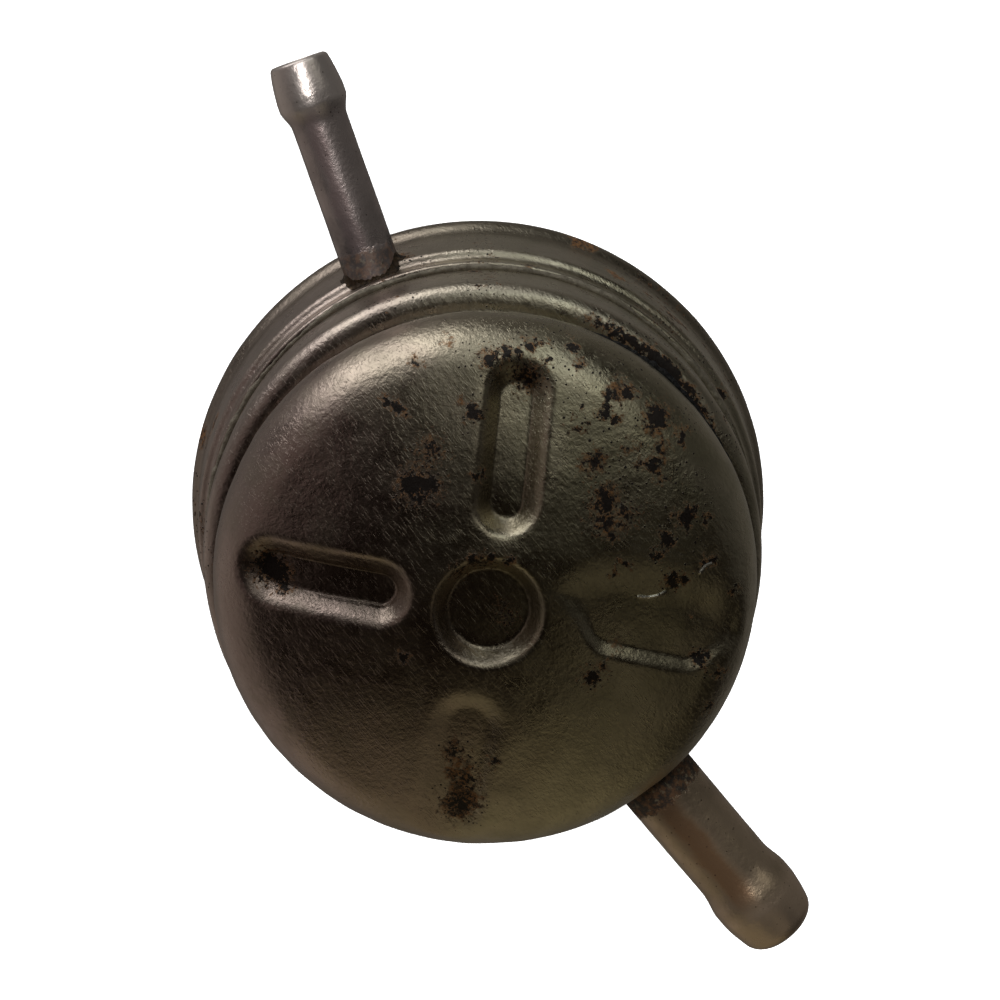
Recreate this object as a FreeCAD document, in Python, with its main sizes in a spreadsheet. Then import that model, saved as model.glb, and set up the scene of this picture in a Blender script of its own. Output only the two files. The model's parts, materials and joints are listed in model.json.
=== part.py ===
import FreeCAD, Part
import Sketcher
import math
import os
import re

# Sealed steel fuel filter: a round pressed can with a domed, rib-stamped cover, two barbed
# hose tubes brazed into its side and a pleated paper element inside.
# Frame: millimetres, origin at the middle of the flat bottom, +Z up through the cover,
# +X out along the outlet tube.

doc = FreeCAD.newDocument("fuel_filter")

# ---------------------------------------------------------------- driving dimensions

SIZES = [
    # name, value, meaning
    ("sheet", 0.8, "thickness of the can's pressed sheet"),
    ("cover_radius", 27.5, "front cover at its widest"),
    ("cover_plane", 37.4, "height of the cover's widest line"),
    ("cover_rise", 12.9, "dome above its widest line"),
    ("cover_bend", 8.55, "outside radius of the dome's shoulder"),
    ("skirt", 0.6, "straight part of the cover's edge"),
    ("hem_radius", 1.6, "outside radius of the cover's rolled edge"),
    ("rib_turn", 41.1, "angle of the rib cross from the outlet tube"),
    ("rib_count", 4, "radial slots in the cover"),
    ("rib_gap", 2.5, "from the dimple's wall to a slot's inner end"),
    ("rib_margin", 3.4, "from a slot's outer end to the cover's widest line"),
    ("rib_width", 6.6, "slot's width at its lip"),
    ("rib_depth", 2.0, "slot's depth"),
    ("dimple_radius", 5.2, "wall of the round dimple"),
    ("dimple_depth", 2.3, "depth of the round dimple"),
    ("dimple_corner", 1.2, "radius round the dimple's floor"),
    ("neck_fillet", 1.0, "outside radius where the shoulder meets the neck"),
    ("shelf", 0.2, "flat part of the body shell's shoulder"),
    ("shoulder_radius", 2.2, "outside radius of the body shell's shoulder"),
    ("shoulder_drop", 9.5, "top of the straight wall below the cover's widest line"),
    ("lap", 3.0, "length of body shell inside the rear shell"),
    ("lip_gap", 3.35, "from the outlet tube down to the rear shell's upper edge"),
    ("lip_length", 2.45, "straight part of the rear shell's lip"),
    ("lip_step", 1.0, "step from the lap lip out to the rear wall"),
    ("rear_flare", 0.6, "how far the rear wall widens down to the rim"),
    ("rim_reach", 1.1, "how far the rear rim stands out of the wall"),
    ("rim_corner", 2.6, "radius of the rear rim's section"),
    ("groove_radius", 19.0, "middle of the pressed ring in the bottom"),
    ("groove_width", 6.0, "width of the pressed ring in the bottom"),
    ("groove_depth", 1.0, "depth of the pressed ring in the bottom"),
    ("outlet_turn", 0.0, "direction of the outlet tube"),
    ("outlet_drop", 2.0, "outlet tube's axis below the top of the straight wall"),
    ("outlet_shift", -1.3, "outlet tube's axis to the left of the can's axis"),
    ("outlet_length", 24.5, "outlet tube outside the body shell's wall"),
    ("outlet_inset", 1.9, "outlet tube inside the body shell's wall"),
    ("outlet_radius", 4.35, "outside of the outlet tube"),
    ("outlet_wall", 1.6, "wall of the outlet tube"),
    ("outlet_rise", 0.5, "height of the outlet tube's barb"),
    ("outlet_taper", 0.05, "how much the outlet tube narrows at its end"),
    ("outlet_round", 1.5, "radius round the outlet tube's end face"),
    ("outlet_nose", 4.8, "length from the outlet tube's end to its barb"),
    ("outlet_land", 1.6, "straight length of the outlet tube's barb"),
    ("outlet_back", 2.6, "length from the outlet tube's barb back to the tube"),
    ("inlet_turn", 159.7, "direction of the inlet tube, from the outlet tube"),
    ("inlet_drop", 1.1, "inlet tube's axis below the top of the rear wall"),
    ("inlet_shift", 1.75, "inlet tube's axis to the left of the can's axis"),
    ("inlet_length", 23.4, "inlet tube outside the rear shell's wall"),
    ("inlet_inset", 0.6, "inlet tube inside the rear shell's wall"),
    ("inlet_radius", 3.1, "outside of the inlet tube"),
    ("inlet_wall", 0.8, "wall of the inlet tube"),
    ("inlet_rise", 0.65, "height of the inlet tube's barb"),
    ("inlet_taper", -0.15, "how much the inlet tube narrows at its end"),
    ("inlet_round", 0.5, "radius round the inlet tube's end face"),
    ("inlet_nose", 3.8, "length from the inlet tube's end to its barb"),
    ("inlet_land", 1.2, "straight length of the inlet tube's barb"),
    ("inlet_back", 2.2, "length from the inlet tube's barb back to the tube"),
    ("braze", 1.6, "leg of the brazing fillets at the tubes"),
    ("solder", 0.7, "leg of the solder lines on the can"),
    ("plate_gap", 0.95, "from the outlet tube down to the partition plate"),
    ("plate_skirt", 3.6, "height of the partition plate's rim"),
    ("spigot_radius", 6.3, "outside of the partition plate's spigot"),
    ("spigot_length", 2.8, "length of the spigot below the plate's top"),
    ("gasket_thickness", 1.8, "element gasket, squeezed"),
    ("gasket_width", 4.5, "radial width of the element gasket"),
    ("tin", 0.4, "thickness of the element's tin parts"),
    ("element_gap", 4.5, "from the end caps to the body shell"),
    ("cap_rim", 1.8, "height of the end caps' rims"),
    ("bedding", 1.0, "depth of the adhesive in each end cap"),
    ("core_gap", 0.6, "from the spigot to the outside of the centre tube"),
    ("core_hole", 0.8, "radius of the centre tube's holes"),
    ("core_columns", 12, "holes round the centre tube"),
    ("core_rows", 3, "rows of holes up the centre tube"),
    ("paper_inset", 1.7, "from the centre tube to the inside of the pleats"),
    ("paper_margin", 1.6, "from the pleats to the outside of the end caps"),
    ("paper_thickness", 0.4, "thickness of the filter paper"),
    ("pleat_count", 36, "pleats round the element"),
    ("clip_depth", 4.0, "how far the pleat clip grips inward"),
    ("clip_play", 0.1, "gap between the pleat clip and its pleat"),
    ("wire", 1.0, "diameter of the spring's wire"),
    ("spring_radius", 9.0, "middle of the spring's wire from its axis"),
    ("spring_length", 4.8, "squeezed length of the spring"),
    ("spring_turns", 2.5, "turns of the spring"),
    ("seat_radius", 11.0, "outside of the spring seat"),
]

# Sizes that follow from the driving ones, each written with their names.
FOLLOWS = {
    "cover_inner": "cover_radius - sheet",
    "cover_top": "cover_plane + cover_rise",
    "dome_square": "cover_radius ^ 2 + cover_rise ^ 2 - 2 * cover_bend * cover_radius",
    "dome_radius": "dome_square / (2 * (cover_rise - cover_bend))",
    "dome_centre": "cover_top - dome_radius",
    "bend_centre": "cover_radius - cover_bend",
    "bend_share": "bend_centre / (dome_radius - cover_bend)",
    "bend_rise": "(dome_radius - cover_rise) / (dome_radius - cover_bend)",
    "rib_inner": "dimple_radius + rib_gap",
    "rib_outer": "cover_radius - rib_margin",
    "skirt_foot": "cover_plane - skirt",
    "lip_radius": "cover_radius - hem_radius",
    "hem_foot": "skirt_foot - hem_radius",
    "hem_inner": "hem_radius - sheet",
    "flange_foot": "skirt_foot - hem_inner",
    "neck_radius": "lip_radius",
    "neck_inner": "neck_radius - sheet",
    "fillet_edge": "neck_radius + neck_fillet",
    "shoulder_edge": "fillet_edge + shelf",
    "wall_radius": "shoulder_edge + shoulder_radius",
    "wall_inner": "wall_radius - sheet",
    "wall_top": "cover_plane - shoulder_drop",
    "shoulder_top": "wall_top + shoulder_radius",
    "fillet_top": "shoulder_top + neck_fillet",
    "outlet_height": "wall_top - outlet_drop",
    "outlet_reach": "wall_radius + outlet_length",
    "outlet_root": "wall_inner - outlet_inset",
    "outlet_bore": "outlet_radius - outlet_wall",
    "outlet_barb": "outlet_radius + outlet_rise",
    "outlet_tip": "outlet_radius - outlet_taper",
    "lip_outer": "wall_radius + sheet",
    "lip_top": "outlet_height - outlet_radius - lip_gap",
    "lip_foot": "lip_top - lip_length",
    "lip_mid": "lip_foot - lip_step * sqrt(3) / 2",
    "rear_head": "lip_foot - lip_step * sqrt(3)",
    "body_foot": "lip_top - lap",
    "head_radius": "lip_outer + lip_step",
    "rear_foot_radius": "head_radius + rear_flare",
    "rim_radius": "rear_foot_radius + rim_reach",
    "rim_edge": "rim_radius - rim_corner",
    "rim_gap": "2 * rim_corner - rim_reach",
    "rim_lift": "sqrt(4 * rim_corner ^ 2 - rim_gap ^ 2)",
    "foot_height": "rim_corner + rim_lift",
    "inlet_height": "rear_head - inlet_drop",
    "inlet_reach": "head_radius + inlet_length",
    "inlet_root": "head_radius - sheet - inlet_inset",
    "inlet_bore": "inlet_radius - inlet_wall",
    "inlet_barb": "inlet_radius + inlet_rise",
    "inlet_tip": "inlet_radius - inlet_taper",
    "groove_in": "groove_radius - groove_width / 2",
    "groove_out": "groove_radius + groove_width / 2",
    "plate_top": "outlet_height - outlet_radius - plate_gap",
    "plate_foot": "plate_top - sheet",
    "spigot_foot": "plate_top - spigot_length",
    "spigot_inner": "spigot_radius - sheet",
    "element_top": "plate_foot - gasket_thickness",
    "seat_foot": "sheet + spring_length",
    "element_foot": "seat_foot + tin",
    "cap_radius": "wall_inner - element_gap",
    "core_radius": "spigot_radius + core_gap",
    "paper_inner": "core_radius + paper_inset",
    "paper_outer": "cap_radius - paper_margin",
    "paper_top": "element_top - tin - bedding / 2",
    "paper_foot": "element_foot + tin + bedding / 2",
}


def make_sheet():
    """Spreadsheet with one named cell for every driving dimension."""
    sheet = doc.addObject("Spreadsheet::Sheet", "Sizes")
    for row, (name, value, meaning) in enumerate(SIZES, start=1):
        sheet.set(f"A{row}", meaning)
        sheet.set(f"B{row}", str(value))
        sheet.setAlias(f"B{row}", name)
    doc.recompute()
    return sheet


sizes = make_sheet()
DRIVING = {name for name, _, _ in SIZES}


def full(text):
    """A formula with every name written as its sheet cell or the formula it follows from."""

    def swap(found):
        word = found.group(0)
        if word in DRIVING:
            return "Sizes." + word
        if word in FOLLOWS:
            return "(" + full(FOLLOWS[word]) + ")"
        return word

    return re.sub(r"[A-Za-z_][A-Za-z_0-9]*", swap, str(text))


def number(text):
    """The value of a formula in millimetres or degrees."""
    return float(sizes.evalExpression(full(text)))


# ---------------------------------------------------------------- ways of making a shape


def origin_plane(body, role):
    """The body's own origin plane with this role."""
    return next(item for item in body.Origin.OriginFeatures if item.Role == role)


def add_arc(sketch, start, end, radius, bend):
    """An arc from start to end; bend +1 turns left on the way, -1 turns right."""
    chord = end - start
    rise = math.sqrt(max(radius**2 - chord.Length**2 / 4, 0.0))
    left = FreeCAD.Vector(-chord.y, chord.x, 0) / chord.Length
    centre = (start + end) / 2 + left * rise * bend
    first, last = (start, end) if bend > 0 else (end, start)
    angles = [math.atan2(p.y - centre.y, p.x - centre.x) for p in (first, last)]
    circle = Part.Circle(centre, FreeCAD.Vector(0, 0, 1), radius)
    return sketch.addGeometry(Part.ArcOfCircle(circle, *angles), False)


def draw(sketch, outline):
    """Closed outline in a sketch. Each corner is (across, up) or (across, up, radius, bend),
    where radius and bend describe the arc that leaves the corner."""
    points = [FreeCAD.Vector(number(c[0]), number(c[1]), 0) for c in outline]
    edges = []
    for i, corner in enumerate(outline):
        start, end = points[i], points[(i + 1) % len(points)]
        if len(corner) == 4:
            edge = add_arc(sketch, start, end, number(corner[2]), corner[3])
            ends = (1, 2) if corner[3] > 0 else (2, 1)
            mark = sketch.addConstraint(Sketcher.Constraint("Radius", edge, number(corner[2])))
            sketch.setExpression(f"Constraints[{mark}]", full(corner[2]))
        else:
            edge = sketch.addGeometry(Part.LineSegment(start, end), False)
            ends = (1, 2)
        edges.append((edge, *ends))
    for i, corner in enumerate(outline):
        edge, first, _ = edges[i]
        before, _, last = edges[i - 1]
        sketch.addConstraint(Sketcher.Constraint("Coincident", before, last, edge, first))
        for kind, text in zip(("DistanceX", "DistanceY"), corner):
            rule = Sketcher.Constraint(kind, -1, 1, edge, first, number(text))
            mark = sketch.addConstraint(rule)
            sketch.setExpression(f"Constraints[{mark}]", full(text))


def sketch_in(body, plane, outline):
    """Sketch with a closed outline on one of the body's own planes."""
    sketch = body.newObject("Sketcher::SketchObject", body.Name + "_outline")
    sketch.AttachmentSupport = (origin_plane(body, plane), [""])
    sketch.MapMode = "FlatFace"
    draw(sketch, outline)
    return sketch


def turned(name, outline):
    """Body turned about Z from the right half of its section."""
    body = doc.addObject("PartDesign::Body", name)
    sketch = sketch_in(body, "XZ_Plane", outline)
    turn = body.newObject("PartDesign::Revolution", name + "_turn")
    turn.Profile = sketch
    turn.ReferenceAxis = (sketch, ["V_Axis"])
    turn.Angle = 360
    sketch.Visibility = False
    doc.recompute()
    return body


def solid(kind, name, place=None, **formulas):
    """Part primitive whose sizes are bound to formulas."""
    item = doc.addObject("Part::" + kind, name)
    for prop, text in formulas.items():
        item.setExpression(prop, full(text))
    if place:
        item.Placement = place
    return item


def minus(name, base, tool):
    """Part::Cut of a tool from a base."""
    cut = doc.addObject("Part::Cut", name)
    cut.Base = base
    cut.Tool = tool
    return cut


def joined(name, items):
    """Part::MultiFuse of several shapes."""
    fuse = doc.addObject("Part::MultiFuse", name)
    fuse.Shapes = items
    return fuse


def featured(name, shape):
    """Part::Feature that holds a shape made with Part's own functions."""
    item = doc.addObject("Part::Feature", name)
    item.Shape = shape
    return item


def ring(name, inner, outer, foot, top):
    """Turned ring of rectangular section."""
    return turned(name, [(inner, foot), (outer, foot), (outer, top), (inner, top)])


# ---------------------------------------------------------------- front cover


def dome_outline(depth, foot):
    """Half section of the cover's outside, or of the space inside it, depth under the outside.
    Foot is the height at which the section is closed."""
    dome = f"dome_radius - {depth}"
    bend = f"cover_bend - {depth}"
    hem = f"hem_radius - {depth}"
    tangent_r = f"({dome}) * bend_share"
    tangent_z = f"dome_centre + ({dome}) * bend_rise"
    side = f"cover_radius - {depth}"
    outline = [("0", foot), ("lip_radius", foot)]
    if depth != "0":
        outline.append(("lip_radius", f"skirt_foot - ({hem})", hem, 1))
    else:
        outline[-1] = ("lip_radius", foot, hem, 1)
    outline += [
        (side, "skirt_foot"),
        (side, "cover_plane", bend, 1),
        (tangent_r, tangent_z, dome, 1),
        ("0", f"cover_top - {depth}"),
    ]
    return outline


def rib_tool(name, index, depth):
    """Capsule bent round the dome's centre that presses one slot; depth is how far under
    the cover's outside this surface lies."""
    radius = "(rib_width ^ 2 / 4 + rib_depth ^ 2) / (2 * rib_depth)"
    path = number(f"dome_radius + {radius} - rib_depth")
    ends = [number("rib_inner + rib_width / 2"), number("rib_outer - rib_width / 2")]
    angles = [math.degrees(math.asin(r / number("dome_radius"))) for r in ends]
    turn = number("rib_turn") + index * 360 / number("rib_count")
    spin = FreeCAD.Rotation(FreeCAD.Vector(0, 0, 1), turn)
    centre = FreeCAD.Vector(0, 0, number("dome_centre"))
    # local X starts along the dome's axis and sweeps outward over the rib
    upright = FreeCAD.Rotation(FreeCAD.Vector(1, 1, 1), 240)
    start = FreeCAD.Rotation(FreeCAD.Vector(0, 0, 1), angles[0])
    place = FreeCAD.Placement(centre, spin.multiply(upright).multiply(start))
    bar = solid(
        "Torus",
        name + "_bar",
        place,
        Radius1=f"dome_radius + {radius} - rib_depth",
        Radius2=f"{radius} + {depth}",
    )
    bar.Angle3 = angles[1] - angles[0]
    pieces = [bar]
    for end, angle in enumerate(math.radians(a) for a in angles):
        out = FreeCAD.Vector(math.sin(angle), 0, math.cos(angle)) * path
        spot = FreeCAD.Placement(centre + spin.multVec(out), FreeCAD.Rotation())
        pieces.append(solid("Sphere", f"{name}_end{end}", spot, Radius=f"{radius} + {depth}"))
    return joined(name, pieces)


def dimple_tool(name, depth):
    """Round plug that presses the dimple, depth under the cover's outside."""
    side = f"dimple_radius + {depth}"
    floor = f"cover_top - dimple_depth - {depth}"
    corner = f"dimple_corner + {depth}"
    above = "cover_top + dimple_depth"
    outline = [
        ("0", floor),
        (f"{side} - ({corner})", floor, corner, 1),
        (side, f"{floor} + {corner}"),
        (side, above),
        ("0", above),
    ]
    return turned(name, outline)


def pressed_dome(name, depth, foot):
    """Filled dome with its slots and dimple pressed in."""
    blank = turned(name + "_blank", dome_outline(depth, foot))
    tools = [rib_tool(f"{name}_rib{i}", i, depth) for i in range(int(number("rib_count")))]
    tools.append(dimple_tool(name + "_dimple", depth))
    return minus(name, blank, joined(name + "_tools", tools))


def front_cover():
    """Cover of even thickness: the outside less the space inside it."""
    outside = pressed_dome("cover_outside", "0", "hem_foot")
    inside = pressed_dome("cover_inside", "sheet", "hem_foot - sheet")
    return minus("front_cover", outside, inside)


# ---------------------------------------------------------------- can


def tube_place(which):
    """Placement that lays a local Z axis along a tube, from the can's axis outward."""
    turn = math.radians(number(which + "_turn"))
    out = FreeCAD.Vector(math.cos(turn), math.sin(turn), 0)
    left = FreeCAD.Vector(-math.sin(turn), math.cos(turn), 0)
    base = left * number(which + "_shift")
    base.z = number(which + "_height")
    return FreeCAD.Placement(base, FreeCAD.Rotation(FreeCAD.Vector(0, 0, 1), out))


def tube_hole(which):
    """Plug that cuts a tube's hole through the can's wall."""
    return solid(
        "Cylinder",
        which + "_hole",
        tube_place(which),
        Radius=which + "_radius",
        Height=which + "_reach",
    )


def body_outline():
    """Section of the body shell: straight wall, shoulder, neck and flange."""
    return [
        ("wall_inner", "body_foot"),
        ("wall_radius", "body_foot"),
        ("wall_radius", "wall_top", "shoulder_radius", 1),
        ("shoulder_edge", "shoulder_top"),
        ("fillet_edge", "shoulder_top", "neck_fillet", -1),
        ("neck_radius", "fillet_top"),
        ("neck_radius", "flange_foot", "hem_inner", 1),
        ("cover_inner", "skirt_foot"),
        ("neck_inner", "skirt_foot"),
        ("neck_inner", "fillet_top", "neck_fillet + sheet", 1),
        ("fillet_edge", "shoulder_top - sheet"),
        ("shoulder_edge", "shoulder_top - sheet", "shoulder_radius - sheet", -1),
        ("wall_inner", "wall_top"),
    ]


def body_envelope_outline():
    """Filled outline of the body shell's outside."""
    return [
        ("0", "body_foot"),
        ("wall_radius", "body_foot"),
        ("wall_radius", "wall_top", "shoulder_radius", 1),
        ("shoulder_edge", "shoulder_top"),
        ("0", "shoulder_top"),
    ]


def rear_outside():
    """Outside of the rear shell, from the rim's corner up to the lip."""
    share = "rim_gap / (2 * rim_corner)"
    rise = "rim_lift / (2 * rim_corner)"
    return [
        ("rim_edge", "0", "rim_corner", 1),
        (f"rim_edge + rim_corner * {share}", f"rim_corner + rim_corner * {rise}", "rim_corner", -1),
        ("rear_foot_radius", "foot_height"),
        ("head_radius", "rear_head", "lip_step", 1),
        ("lip_outer + lip_step / 2", "lip_mid", "lip_step", -1),
        ("lip_outer", "lip_foot"),
        ("lip_outer", "lip_top"),
    ]


def rear_inside():
    """Inside of the rear shell, from the lip down to the rim's corner."""
    inner = "(lip_step - sheet)"
    rim = "(rim_corner - sheet)"
    share = "rim_gap / (2 * rim_corner)"
    rise = "rim_lift / (2 * rim_corner)"
    return [
        ("wall_radius", "lip_top"),
        ("wall_radius", "lip_foot", "lip_step + sheet", 1),
        (f"lip_outer + {inner} / 2", f"rear_head + {inner} * sqrt(3) / 2", inner, -1),
        (f"lip_outer + {inner}", "rear_head"),
        ("rear_foot_radius - sheet", "foot_height", "rim_corner + sheet", 1),
        (f"rim_edge + {rim} * {share}", f"rim_corner + {rim} * {rise}", rim, -1),
        ("rim_edge", "sheet"),
    ]


def bottom_line(lift):
    """Corners of the bottom's pressed ring from the outside in, lifted by the sheet."""
    slope = "groove_depth"
    return [
        ("groove_out", lift),
        (f"groove_out - {slope}", f"{lift} + groove_depth"),
        (f"groove_in + {slope}", f"{lift} + groove_depth"),
        ("groove_in", lift),
        ("0", lift),
    ]


def rear_shell():
    """Rear cup with its lap lip, step, wall, rounded rim and bottom, and the inlet's hole."""
    outline = rear_outside() + rear_inside() + bottom_line("sheet") + bottom_line("0")[::-1]
    cup = turned("rear_cup", outline)
    return minus("rear_shell", cup, tube_hole("inlet"))


def body_shell():
    """Body shell with the outlet's hole."""
    return minus("body_shell", turned("body_wall", body_outline()), tube_hole("outlet"))


def solder_lines():
    """Three-cornered rings of solder under the cover's edge and on the rear shell's lip."""
    under_cover = [
        ("neck_radius", "hem_foot"),
        ("neck_radius", "hem_foot - solder"),
        ("neck_radius + solder", "hem_foot"),
    ]
    on_lip = [
        ("wall_radius", "lip_top"),
        ("wall_radius + solder", "lip_top"),
        ("wall_radius", "lip_top + solder"),
    ]
    turned("cover_solder", under_cover)
    turned("lap_solder", on_lip)


def cover_seal():
    """Flat sealing ring between the body's flange and the cover's straight edge."""
    return ring("cover_seal", "neck_inner", "cover_inner", "skirt_foot", "cover_plane")


# ---------------------------------------------------------------- tubes


def hose_tube(which):
    """Tube with a rounded barb at its outer end, along its own Z."""
    barb_start = f"{which}_reach - {which}_nose - {which}_land"
    outline = [
        (f"{which}_bore", f"{which}_root"),
        (f"{which}_radius", f"{which}_root"),
        (f"{which}_radius", f"{barb_start} - {which}_back"),
        (f"{which}_barb", barb_start),
        (f"{which}_barb", f"{which}_reach - {which}_nose"),
        (f"{which}_tip", f"{which}_reach - {which}_round", f"{which}_round", 1),
        (f"{which}_tip - {which}_round", f"{which}_reach"),
        (f"{which}_bore", f"{which}_reach"),
    ]
    tube = turned(which + "_tube", outline)
    tube.Placement = tube_place(which)
    return tube


def braze_fillet(which, can_outline, can_radius):
    """Concave ring of braze between a tube and the can's outside."""
    start = f"{can_radius} - 1.25 * braze"
    collar = turned(
        which + "_collar",
        [
            (f"{which}_radius", start),
            (f"{which}_radius + braze", start),
            (f"{which}_radius + braze", f"{can_radius} - braze / 4", "braze * 1.25", -1),
            (f"{which}_radius", f"{can_radius} + braze"),
        ],
    )
    collar.Placement = tube_place(which)
    envelope = turned(which + "_envelope", can_outline)
    return minus(which + "_braze", collar, envelope)


def rear_envelope_outline():
    """Filled outline of the rear shell's outside."""
    return rear_outside() + [("0", "lip_top"), ("0", "0")]


# ---------------------------------------------------------------- partition and element


def partition_plate():
    """Plate with a rim that lies against the body shell and a spigot for the element."""
    turned(
        "partition_plate",
        [
            ("spigot_inner", "spigot_foot"),
            ("spigot_radius", "spigot_foot"),
            ("spigot_radius", "plate_foot"),
            ("wall_inner - sheet", "plate_foot"),
            ("wall_inner - sheet", "plate_top - plate_skirt"),
            ("wall_inner", "plate_top - plate_skirt"),
            ("wall_inner", "plate_top"),
            ("spigot_inner", "plate_top"),
        ],
    )


def element_gasket():
    """Flat ring round the spigot, squeezed between the plate and the upper end cap."""
    outer = "spigot_radius + gasket_width"
    ring("element_gasket", "spigot_radius", outer, "element_top", "plate_foot")


def element_caps():
    """Tin end caps: the upper one open round the spigot, the lower one closed."""
    turned(
        "upper_end_cap",
        [
            ("spigot_radius", "element_top - tin"),
            ("cap_radius - tin", "element_top - tin"),
            ("cap_radius - tin", "element_top - cap_rim"),
            ("cap_radius", "element_top - cap_rim"),
            ("cap_radius", "element_top"),
            ("spigot_radius", "element_top"),
        ],
    )
    turned(
        "lower_end_cap",
        [
            ("0", "element_foot"),
            ("cap_radius", "element_foot"),
            ("cap_radius", "element_foot + cap_rim"),
            ("cap_radius - tin", "element_foot + cap_rim"),
            ("cap_radius - tin", "element_foot + tin"),
            ("0", "element_foot + tin"),
        ],
    )


def element_bedding():
    """Adhesive in the end caps; the pleats sink half of its depth into it."""
    high_foot, high_top = "element_top - tin - bedding", "element_top - tin"
    low_foot, low_top = "element_foot + tin", "element_foot + tin + bedding"
    for name, foot, top, sunk in (
        ("upper_bedding", high_foot, high_top, (high_foot, "paper_top")),
        ("lower_bedding", low_foot, low_top, ("paper_foot", low_top)),
    ):
        block = ring(name + "_block", "core_radius", "cap_radius - tin", foot, top)
        groove = featured(name + "_groove", pleats(*sunk))
        minus(name, block, groove)


def polar(radius, angle):
    """Point at a radius and an angle in radians."""
    return FreeCAD.Vector(radius * math.cos(angle), radius * math.sin(angle), 0)


def pleats(foot, top):
    """Pleated ring of paper between two heights."""
    count = int(number("pleat_count"))
    inner, outer = number("paper_inner"), number("paper_outer")
    half = number("paper_thickness") / 2
    pitch = 2 * math.pi / count
    outside, inside = [], []
    for i in range(count):
        for side in (-1, 1):
            wall = i * pitch + side * pitch / 4
            order = (inner + 2 * half, outer)[::-side]
            outside += [polar(r, wall + side * half / r) for r in order]
            order = (inner, outer - 2 * half)[::-side]
            inside += [polar(r, wall - side * half / r) for r in order]
    faces = [Part.Face(Part.makePolygon(loop + loop[:1])) for loop in (outside, inside)]
    sheet = faces[0].extrude(FreeCAD.Vector(0, 0, number(top) - number(foot)))
    hollow = faces[1].extrude(FreeCAD.Vector(0, 0, number(top) - number(foot)))
    paper = sheet.cut(hollow)
    paper.translate(FreeCAD.Vector(0, 0, number(foot)))
    return paper


def pleat_clip():
    """U-shaped clip over the pleat that joins the paper's two ends."""
    half = number("paper_outer * pi / (2 * pleat_count) + paper_thickness / 2 + clip_play")
    tin = number("tin") / 2
    reach = number("paper_outer + clip_play")
    start = reach - number("clip_depth")
    foot = number("element_foot + tin + bedding")
    height = number("element_top - tin - bedding") - foot
    corner = FreeCAD.Vector(start, -half, foot)
    inside = Part.makeBox(reach - start, 2 * half, height, corner)
    corner.y -= tin
    outside = Part.makeBox(reach + tin - start, 2 * (half + tin), height, corner)
    return featured("pleat_clip", outside.cut(inside))


def centre_tube():
    """Perforated tube between the end caps."""
    foot, top = number("element_foot + tin"), number("element_top - tin")
    radius, tin = number("core_radius"), number("tin")
    wall = Part.makeCylinder(radius, top - foot, FreeCAD.Vector(0, 0, foot))
    wall = wall.cut(Part.makeCylinder(radius - tin, top - foot, FreeCAD.Vector(0, 0, foot)))
    rows, columns = int(number("core_rows")), int(number("core_columns"))
    low, high = number("element_foot + tin + bedding"), number("element_top - tin - bedding")
    holes = []
    for row in range(rows):
        level = low + (row + 0.5) * (high - low) / rows
        for column in range(columns):
            angle = (column + row / 2) * 2 * math.pi / columns
            start = FreeCAD.Vector(0, 0, level)
            holes.append(Part.makeCylinder(number("core_hole"), radius + tin, start, polar(1, angle)))
    return featured("centre_tube", wall.cut(holes))


# ---------------------------------------------------------------- spring


def element_spring():
    """Coil spring between the bottom and the spring seat, its path a smooth curve through
    eight points in each turn."""
    wire, radius, turns = number("wire"), number("spring_radius"), number("spring_turns")
    foot, top = number("sheet") + wire / 2, number("seat_foot") - wire / 2
    steps = round(8 * turns)
    points = []
    for step in range(steps + 1):
        point = polar(radius, 2 * math.pi * turns * step / steps)
        point.z = foot + (top - foot) * step / steps
        points.append(point)
    curve = Part.BSplineCurve()
    curve.interpolate(Points=points)
    lead = FreeCAD.Vector(0, 2 * math.pi * turns * radius, top - foot)
    section = Part.Wire(Part.makeCircle(wire / 2, points[0], lead))
    coil = Part.Wire(curve.toShape()).makePipeShell([section], True, False)
    return featured("element_spring", coil)


def spring_seat():
    """Washer under the element that the spring pushes on."""
    return ring("spring_seat", "spring_radius - wire", "seat_radius", "seat_foot", "element_foot")


# ---------------------------------------------------------------- build and write

front_cover()
body_shell()
rear_shell()
solder_lines()
cover_seal()
for tube in ("outlet", "inlet"):
    hose_tube(tube)
braze_fillet("outlet", body_envelope_outline(), "wall_radius")
braze_fillet("inlet", rear_envelope_outline(), "head_radius")
partition_plate()
element_gasket()
element_caps()
element_bedding()
featured("filter_paper", pleats("paper_foot", "paper_top"))
pleat_clip()
centre_tube()
spring_seat()
element_spring()
doc.recompute()

NODES = [
    "front_cover",
    "body_shell",
    "rear_shell",
    "cover_solder",
    "lap_solder",
    "outlet_tube",
    "inlet_tube",
    "outlet_braze",
    "inlet_braze",
    "cover_seal",
    "partition_plate",
    "element_gasket",
    "upper_end_cap",
    "lower_end_cap",
    "upper_bedding",
    "lower_bedding",
    "filter_paper",
    "pleat_clip",
    "centre_tube",
    "spring_seat",
    "element_spring",
]

for item in doc.Objects:
    if "Invalid" in item.State or "Error" in item.State:
        raise RuntimeError(f"{item.Name} failed: {item.State}")

os.makedirs("parts", exist_ok=True)
for name in NODES:
    item = doc.getObject(name)
    item.Label = name
    shape = item.Shape
    if shape.isNull() or not shape.isValid() or not shape.Solids:
        raise RuntimeError(f"{name} has no valid solid")
    print(f"{name}: {len(shape.Solids)} solid, {shape.Volume:.1f} mm3")
for name in NODES:
    doc.getObject(name).Shape.exportStep(os.path.join("parts", name + ".step"))
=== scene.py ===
import json
import math

import bmesh
import bpy
import numpy as np
from mathutils import Matrix, Vector

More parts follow.
